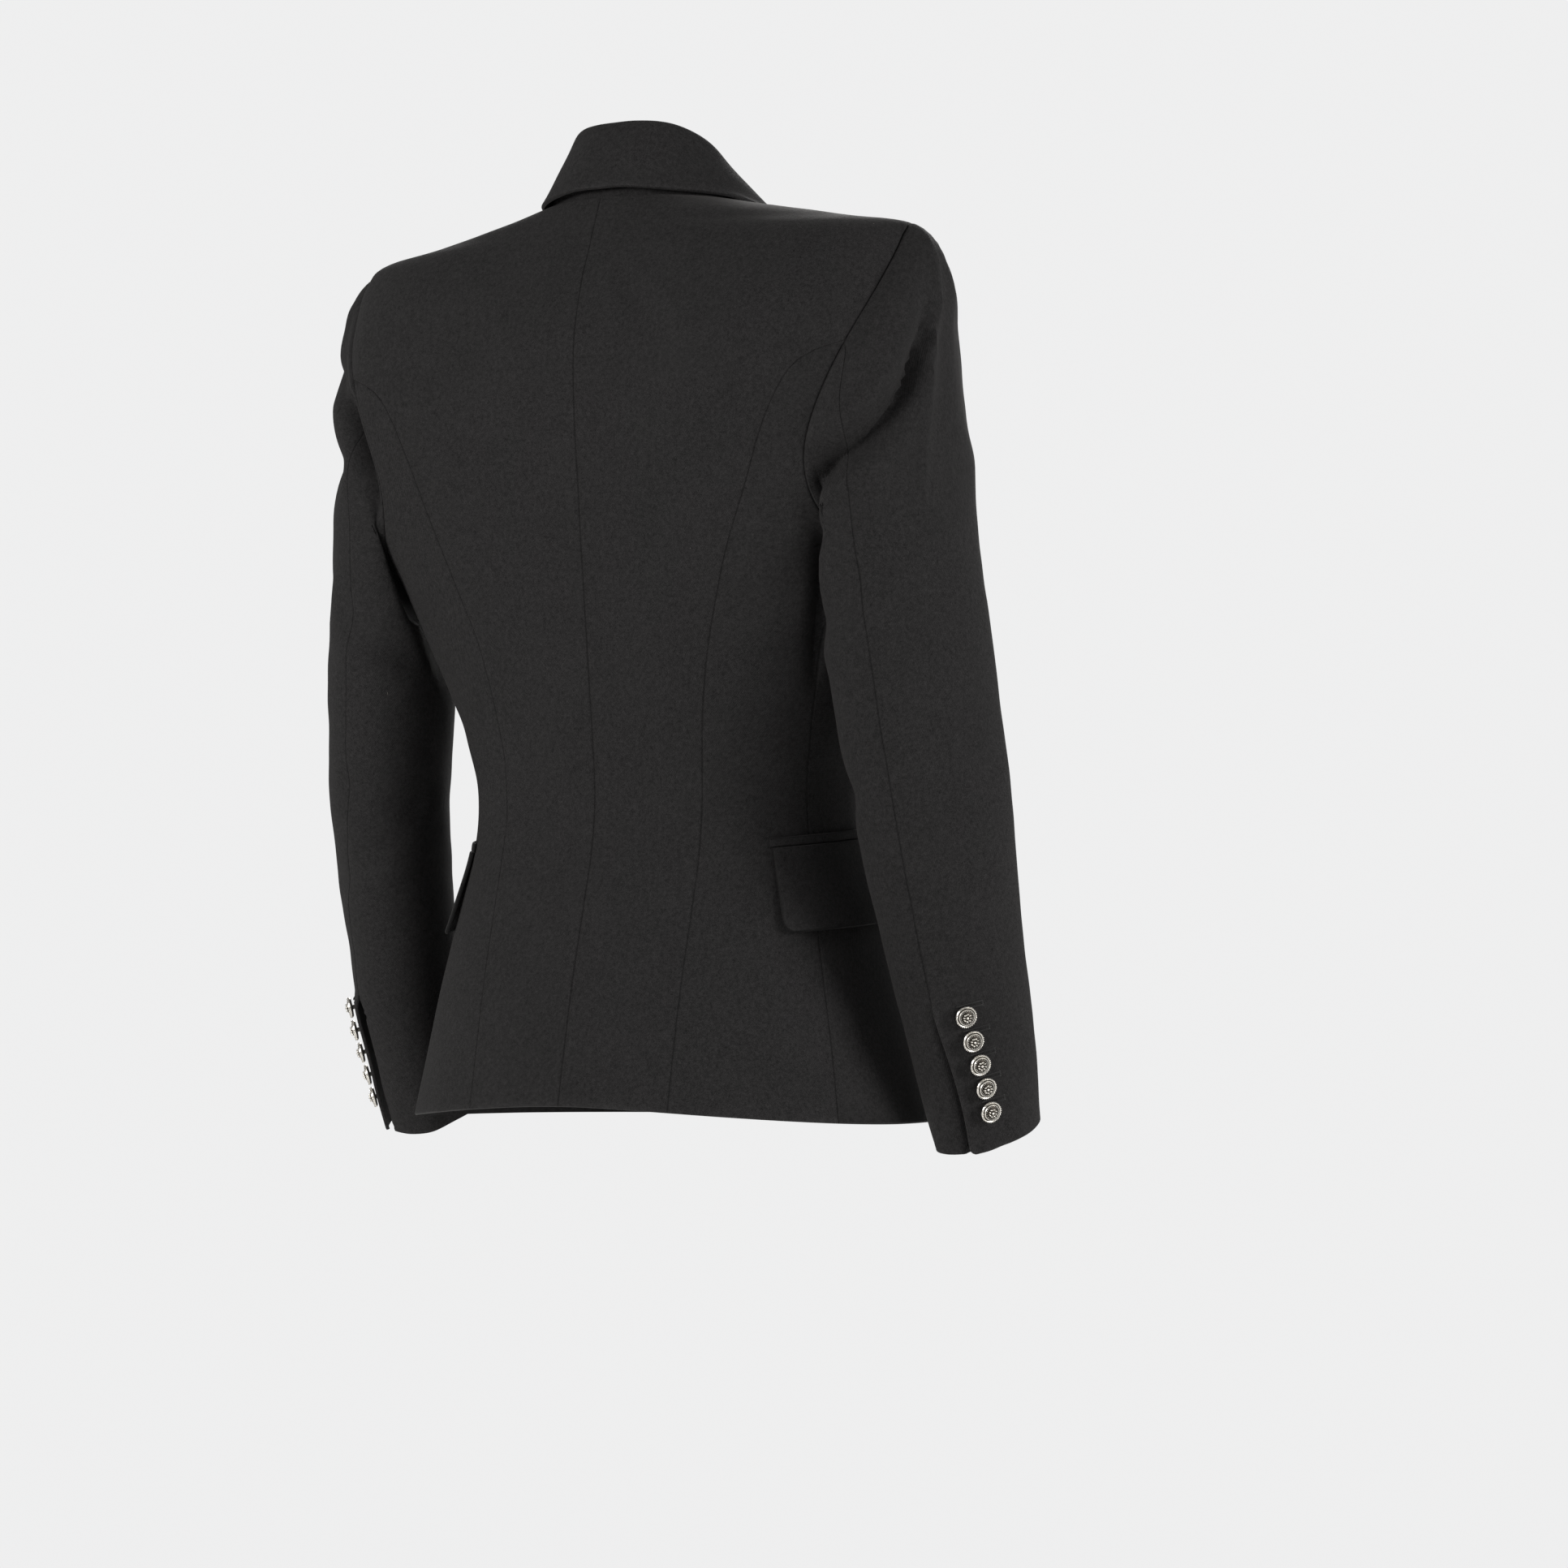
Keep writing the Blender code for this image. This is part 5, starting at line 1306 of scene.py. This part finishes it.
def button_tree():
    """Rope rim, bead ring and rosette on a turned blank."""
    tree, given, result = maker_tree("silver_button", {"Diameter": 0.015, "Rope strands": 30, "Beads": 20,
                                                       "Petals": 8})
    diameter = given["Diameter"]

    def scaled(*shares):
        return put(tree, "ShaderNodeCombineXYZ", {axis: times(tree, diameter, share)
                                                  for axis, share in zip("XYZ", shares)}).outputs[0]

    rings = [bead_ring(tree, given[count], times(tree, diameter, radius), (0, 0, height), scaled(*size),
                       (0.0, 0.0, turn), dark)
             for count, radius, height, size, turn, dark in (
                 ("Rope strands", 0.455, 0.0047, (0.020, 0.056, 0.013), 0.75, 0.00),
                 ("Beads", 0.285, 0.0052, (0.018, 0.018, 0.020), 0.0, 0.10),
                 ("Petals", 0.158, 0.0060, (0.076, 0.036, 0.062), 0.0, 0.05))]
    ball = put(tree, "MeshUVSphere", {"Segments": 16, "Rings": 10, "Radius": 1.0}).outputs[0]
    boss = chain(tree, ball, ("Transform", {"Scale": scaled(0.060, 0.060, 0.065),
                                            "Translation": (0, 0, 0.0065)}))
    joined = put(tree, "JoinGeometry")
    for part in (given["Geometry"], *rings, boss):
        tree.links.new(part, joined.inputs[0])
    return finished(tree, joined.outputs[0], given, result)


def grow(thing, tree, settings):
    """Run a Geometry Nodes tree on an object, and give the finished plain mesh; the object is removed."""
    modifier = thing.modifiers.new("maker", "NODES")
    modifier.node_group = tree
    for socket in tree.interface.items_tree:
        if socket.in_out == "INPUT" and socket.name in settings:
            modifier[socket.identifier] = settings[socket.name]
    shown = thing.evaluated_get(bpy.context.evaluated_depsgraph_get())
    mesh = bpy.data.meshes.new_from_object(shown)
    thing.modifiers.remove(modifier)
    bpy.data.objects.remove(thing)
    return mesh


def silver_finish():
    """Old silver: bright where it is rubbed, brown-black in the hollows, with fine scratches."""
    finish, tree, surface, place = new_finish("antique_silver")
    dark = put(tree, "Attribute", attribute_name="dark").outputs["Fac"]
    blotch = reckon(tree, "SUBTRACT", noise(tree, place, 900.0, 4.0)["Fac"], 0.5)
    tarnish = times_plus(tree, blotch, 0.5, dark)
    ramp = put(tree, "ValToRGB", {"Fac": tarnish})
    for stop, position, colour in zip(ramp.color_ramp.elements, (0.10, 0.95),
                                      ((0.78, 0.755, 0.70, 1.0), (0.045, 0.040, 0.034, 1.0))):
        stop.position = position
        stop.color = colour
    rough = put(tree, "MapRange", {"Value": tarnish, "To Min": 0.26, "To Max": 0.55}).outputs[0]
    scratches = noise(tree, place, 2600.0, 3.0)["Fac"]
    feed(tree, surface, {"Metallic": 1.0, "Base Color": ramp.outputs["Color"], "Roughness": rough,
                         "Normal": bump(tree, scratches, 0.25, 0.0001)})
    return finish


def sleeve_place(name, side, step, down, lift):
    """A point on a sleeve's worn surface, or lift above it, and its way out, on its own side."""
    step, down = np.asarray(step, float), np.asarray(down, float)
    base, way = sleeve_surface(TWISTS[name], step, down), sleeve_way(TWISTS[name], step, down)
    rise = sleeve_relief(name, step, down, base[..., 2]) + lift
    return (base + way * rise[..., None]) * (side, 1, 1), way * (side, 1, 1)


def fix_button(node, template, seat, way, turn):
    """Set a copy of a finished button on the cloth in place of its solid."""
    up = Vector(way).normalized()
    upright = (Vector((0, 0, 1)) - up * up.z).normalized()
    facing = Matrix((upright.cross(up), upright, up)).transposed().to_4x4()
    mesh = template.copy()
    mesh.transform(Matrix.Translation(Vector(seat)) @ facing @ Matrix.Rotation(turn, 4, "Z"))
    fasten(show(node + "_silver", mesh), node)


antique_silver = silver_finish()
silver_button = button_tree()
cuff_template, front_template = (
    grow(button_blank(diameter), silver_button,
         {"Diameter": diameter, "Rope strands": 30, "Finish": antique_silver})
    for diameter in (CUFF_BUTTON, FRONT_BUTTON))
chance = np.random.default_rng(12)
for name, side in SIDES:
    outside = np.array((0.857 * side, -0.515, -0.15))
    for number, height in enumerate(CUFF_BUTTON_HEIGHTS):
        seat, way = sleeve_place(name, side, CUFF_BUTTON_STEP, arm_down(height), VENT_SEAT)
        fix_button("cuff_button_{}_{}".format(name, number + 1), cuff_template, seat,
                   way + outside * BUTTON_LEAN[name] * chance.uniform(0.8, 1.2), chance.uniform(-0.3, 0.3))
for number, height in enumerate(FRONT_BUTTON_HEIGHTS):
    seat = front_place(-1, height, 0.0, SEAM_GAP) * (-1, 1, 1)
    way = body_way(angle_across(height, 0.0), height) * (-1, 1, 1)
    fix_button("front_button_{}".format(number + 1), front_template, seat, way, chance.uniform(-0.3, 0.3))

# Buttonholes. Worked by machine in black silk-like thread: two close rows of stitches either side of a
# slit, beside each button and running a little past it.
STITCH_LENGTH = 0.0017
STITCH_APART = 0.00060
HOLE_HALF_WIDTH = 0.00135
HOLE_POINTS = 12
HOLE_RISE = 0.0045
CUFF_HOLE = (0.35, -1.70)
FRONT_HOLE = (-0.0040, 0.0190)
BAR_STITCHES = 5
BAR_REACH = 1.2
BAR_BEYOND = 0.0004


def stitch_tree():
    """A short rounded stitch on every point, laid across the slit."""
    tree, given, result = maker_tree("buttonhole_stitches", {"Stitch length": 0.0013, "Thread": 0.00062})
    across, out = (put(tree, "InputNamedAttribute", {"Name": name}, data_type="FLOAT_VECTOR").outputs[0]
                   for name in ("across", "out"))
    first = put(tree, "FunctionNodeAlignRotationToVector", {"Vector": out}, axis="Z").outputs[0]
    turned = put(tree, "FunctionNodeAlignRotationToVector", {"Rotation": first, "Vector": across}, axis="X",
                 pivot_axis="Z").outputs[0]
    ball = put(tree, "MeshUVSphere", {"Segments": 6, "Rings": 4, "Radius": 0.5}).outputs[0]
    size = put(tree, "ShaderNodeCombineXYZ", {"X": given["Stitch length"], "Y": given["Thread"],
                                              "Z": given["Thread"]}).outputs[0]
    stitch = chain(tree, ball, ("Transform", {"Scale": size}), ("SetShadeSmooth", {}))
    sown = put(tree, "InstanceOnPoints", {"Points": given["Geometry"], "Instance": stitch,
                                          "Rotation": turned}).outputs[0]
    return finished(tree, sown, given, result)


def thread_finish():
    """Black buttonhole thread, a little glossier than the wool, its strands showing as fine ridges."""
    finish, tree, surface, place = new_finish("black_thread")
    strands = noise(tree, place, 1900.0)["Fac"]
    dyed = mixed_colour(tree, strands, (0.004, 0.004, 0.0045), (0.016, 0.0155, 0.015))
    feed(tree, surface, {"Base Color": dyed, "Roughness": 0.50, "Normal": bump(tree, strands, 0.4, 0.0001)})
    return finish


def slit_points(line, way):
    """Places, ways across and ways out of the stitches along both sides of a slit, and of its end bar."""
    reached = lengths_along(line)
    places = np.arange(0.0, reached[-1], STITCH_APART)
    point, out = (np.stack([np.interp(places, reached, column) for column in values.T], axis=-1)
                  for values in (line, way))
    out = unit(out)
    along = unit(np.gradient(point, axis=0))
    across = unit(np.cross(out, along))
    made = [(point + across * HOLE_HALF_WIDTH * hand, across, out) for hand in (1, -1)]
    shares = np.linspace(-BAR_REACH, BAR_REACH, BAR_STITCHES)[:, None]
    bar = point[-1] + across[-1] * HOLE_HALF_WIDTH * shares + along[-1] * BAR_BEYOND
    made.append((bar, np.repeat(along[-1:], BAR_STITCHES, axis=0), np.repeat(out[-1:], BAR_STITCHES, axis=0)))
    return [np.concatenate(values) for values in zip(*made)]


def work_buttonholes(name, slits):
    """Make one piece of all the buttonholes of a cuff or front."""
    points, across, out = (np.concatenate(values) for values in zip(*slits))
    mesh = bpy.data.meshes.new(name)
    mesh.from_pydata(points.tolist(), [], [])
    for label, values in (("across", across), ("out", out)):
        mesh.attributes.new(label, "FLOAT_VECTOR", "POINT").data.foreach_set("vector", values.ravel())
    stitched = grow(show(name + "_points", mesh), buttonhole_stitches,
                    {"Stitch length": STITCH_LENGTH, "Finish": black_thread})
    fasten(show(name, stitched))


black_thread = thread_finish()
buttonhole_stitches = stitch_tree()
for name, side in SIDES:
    slits = []
    for height in CUFF_BUTTON_HEIGHTS:
        steps = CUFF_BUTTON_STEP + np.linspace(*CUFF_HOLE, HOLE_POINTS)
        downs = np.full(HOLE_POINTS, arm_down(height + HOLE_RISE))
        line, way = sleeve_place(name, side, steps, downs, 0.0)
        slits.append(slit_points(line + way * (VENT_LIFT * smooth_step(steps, *LAP_STEPS))[:, None], way))
    work_buttonholes("cuff_buttonholes_" + name, slits)
slits = []
for height in FRONT_BUTTON_HEIGHTS:
    across = np.linspace(*FRONT_HOLE, HOLE_POINTS)
    line = np.array([front_place(-1, height, place, 0.0) for place in across])
    way = np.array([body_way(angle_across(height, place), height) for place in across])
    slits.append(slit_points(line * (-1, 1, 1), way * (-1, 1, 1)))
work_buttonholes("front_buttonholes", slits)

# Studio. A pale floor well below the jacket, which hangs as worn, and a pale room all round. Soft lamps
# stand behind it to the left of the camera, at the wearer's right side, and in front and above.
FLOOR_HEIGHT = -1.42
FLOOR_RADIUS = 3.4
FLOOR_SIDES = 96


def floor_finish():
    """Pale matt floor paint with a very slight mottle."""
    finish, tree, surface, place = new_finish("pale_floor")
    mottle = noise(tree, place, 3.0, 4.0)["Fac"]
    paint = mixed_colour(tree, mottle, (0.80, 0.80, 0.79), (0.84, 0.84, 0.835))
    feed(tree, surface, {"Base Color": paint, "Roughness": 0.7})
    return finish


def soft_light(name, place, target, size, power, colour):
    """A large square lamp that shines at a target."""
    lamp = bpy.data.lights.new(name, "AREA")
    lamp.size = size
    lamp.energy = power
    lamp.color = colour
    holder = show(name, lamp)
    holder.location = place
    holder.rotation_mode = "QUATERNION"
    holder.rotation_quaternion = (Vector(target) - Vector(place)).to_track_quat("-Z", "Y")


turns = np.arange(FLOOR_SIDES) / FLOOR_SIDES * 2 * math.pi
rim = [(FLOOR_RADIUS * math.cos(turn), FLOOR_RADIUS * math.sin(turn), FLOOR_HEIGHT) for turn in turns]
mesh = bpy.data.meshes.new("floor")
mesh.from_pydata(rim, [], [list(range(FLOOR_SIDES))])
mesh.materials.append(floor_finish())
show("floor", mesh)
soft_light("key", (1.1, 2.8, 0.35), (0.0, 0.0, -0.35), 1.1, 70.0, (1.0, 0.985, 0.97))
soft_light("side", (-2.9, -0.2, 0.2), (0.0, 0.0, -0.40), 1.1, 60.0, (1.0, 0.985, 0.975))
soft_light("front", (1.2, -2.7, 1.1), (0.0, 0.0, -0.3), 1.6, 60.0, (1.0, 0.99, 0.98))
world = bpy.data.worlds.new("pale_room")
world.use_nodes = True
seen = put(world.node_tree, "LightPath").outputs["Is Camera Ray"]
strength = put(world.node_tree, "MapRange", {"Value": seen, "To Min": 0.30, "To Max": 1.0}).outputs[0]
feed(world.node_tree, world.node_tree.nodes["Background"].inputs,
     {"Color": (0.86, 0.86, 0.862, 1.0), "Strength": strength})
bpy.context.scene.world = world
bpy.context.scene.view_settings.view_transform = "Standard"

# Camera. Behind the jacket and to its right, level with the hips and looking slightly up.
lens = bpy.data.cameras.new("camera")
lens.lens = 106.53
lens.sensor_width = 36.0
camera = show("camera", lens)
camera.location = (-1.66831, 2.59671, -0.50730)
camera.rotation_euler = (math.radians(92.296), 0.0, math.radians(211.058))
bpy.context.scene.camera = camera
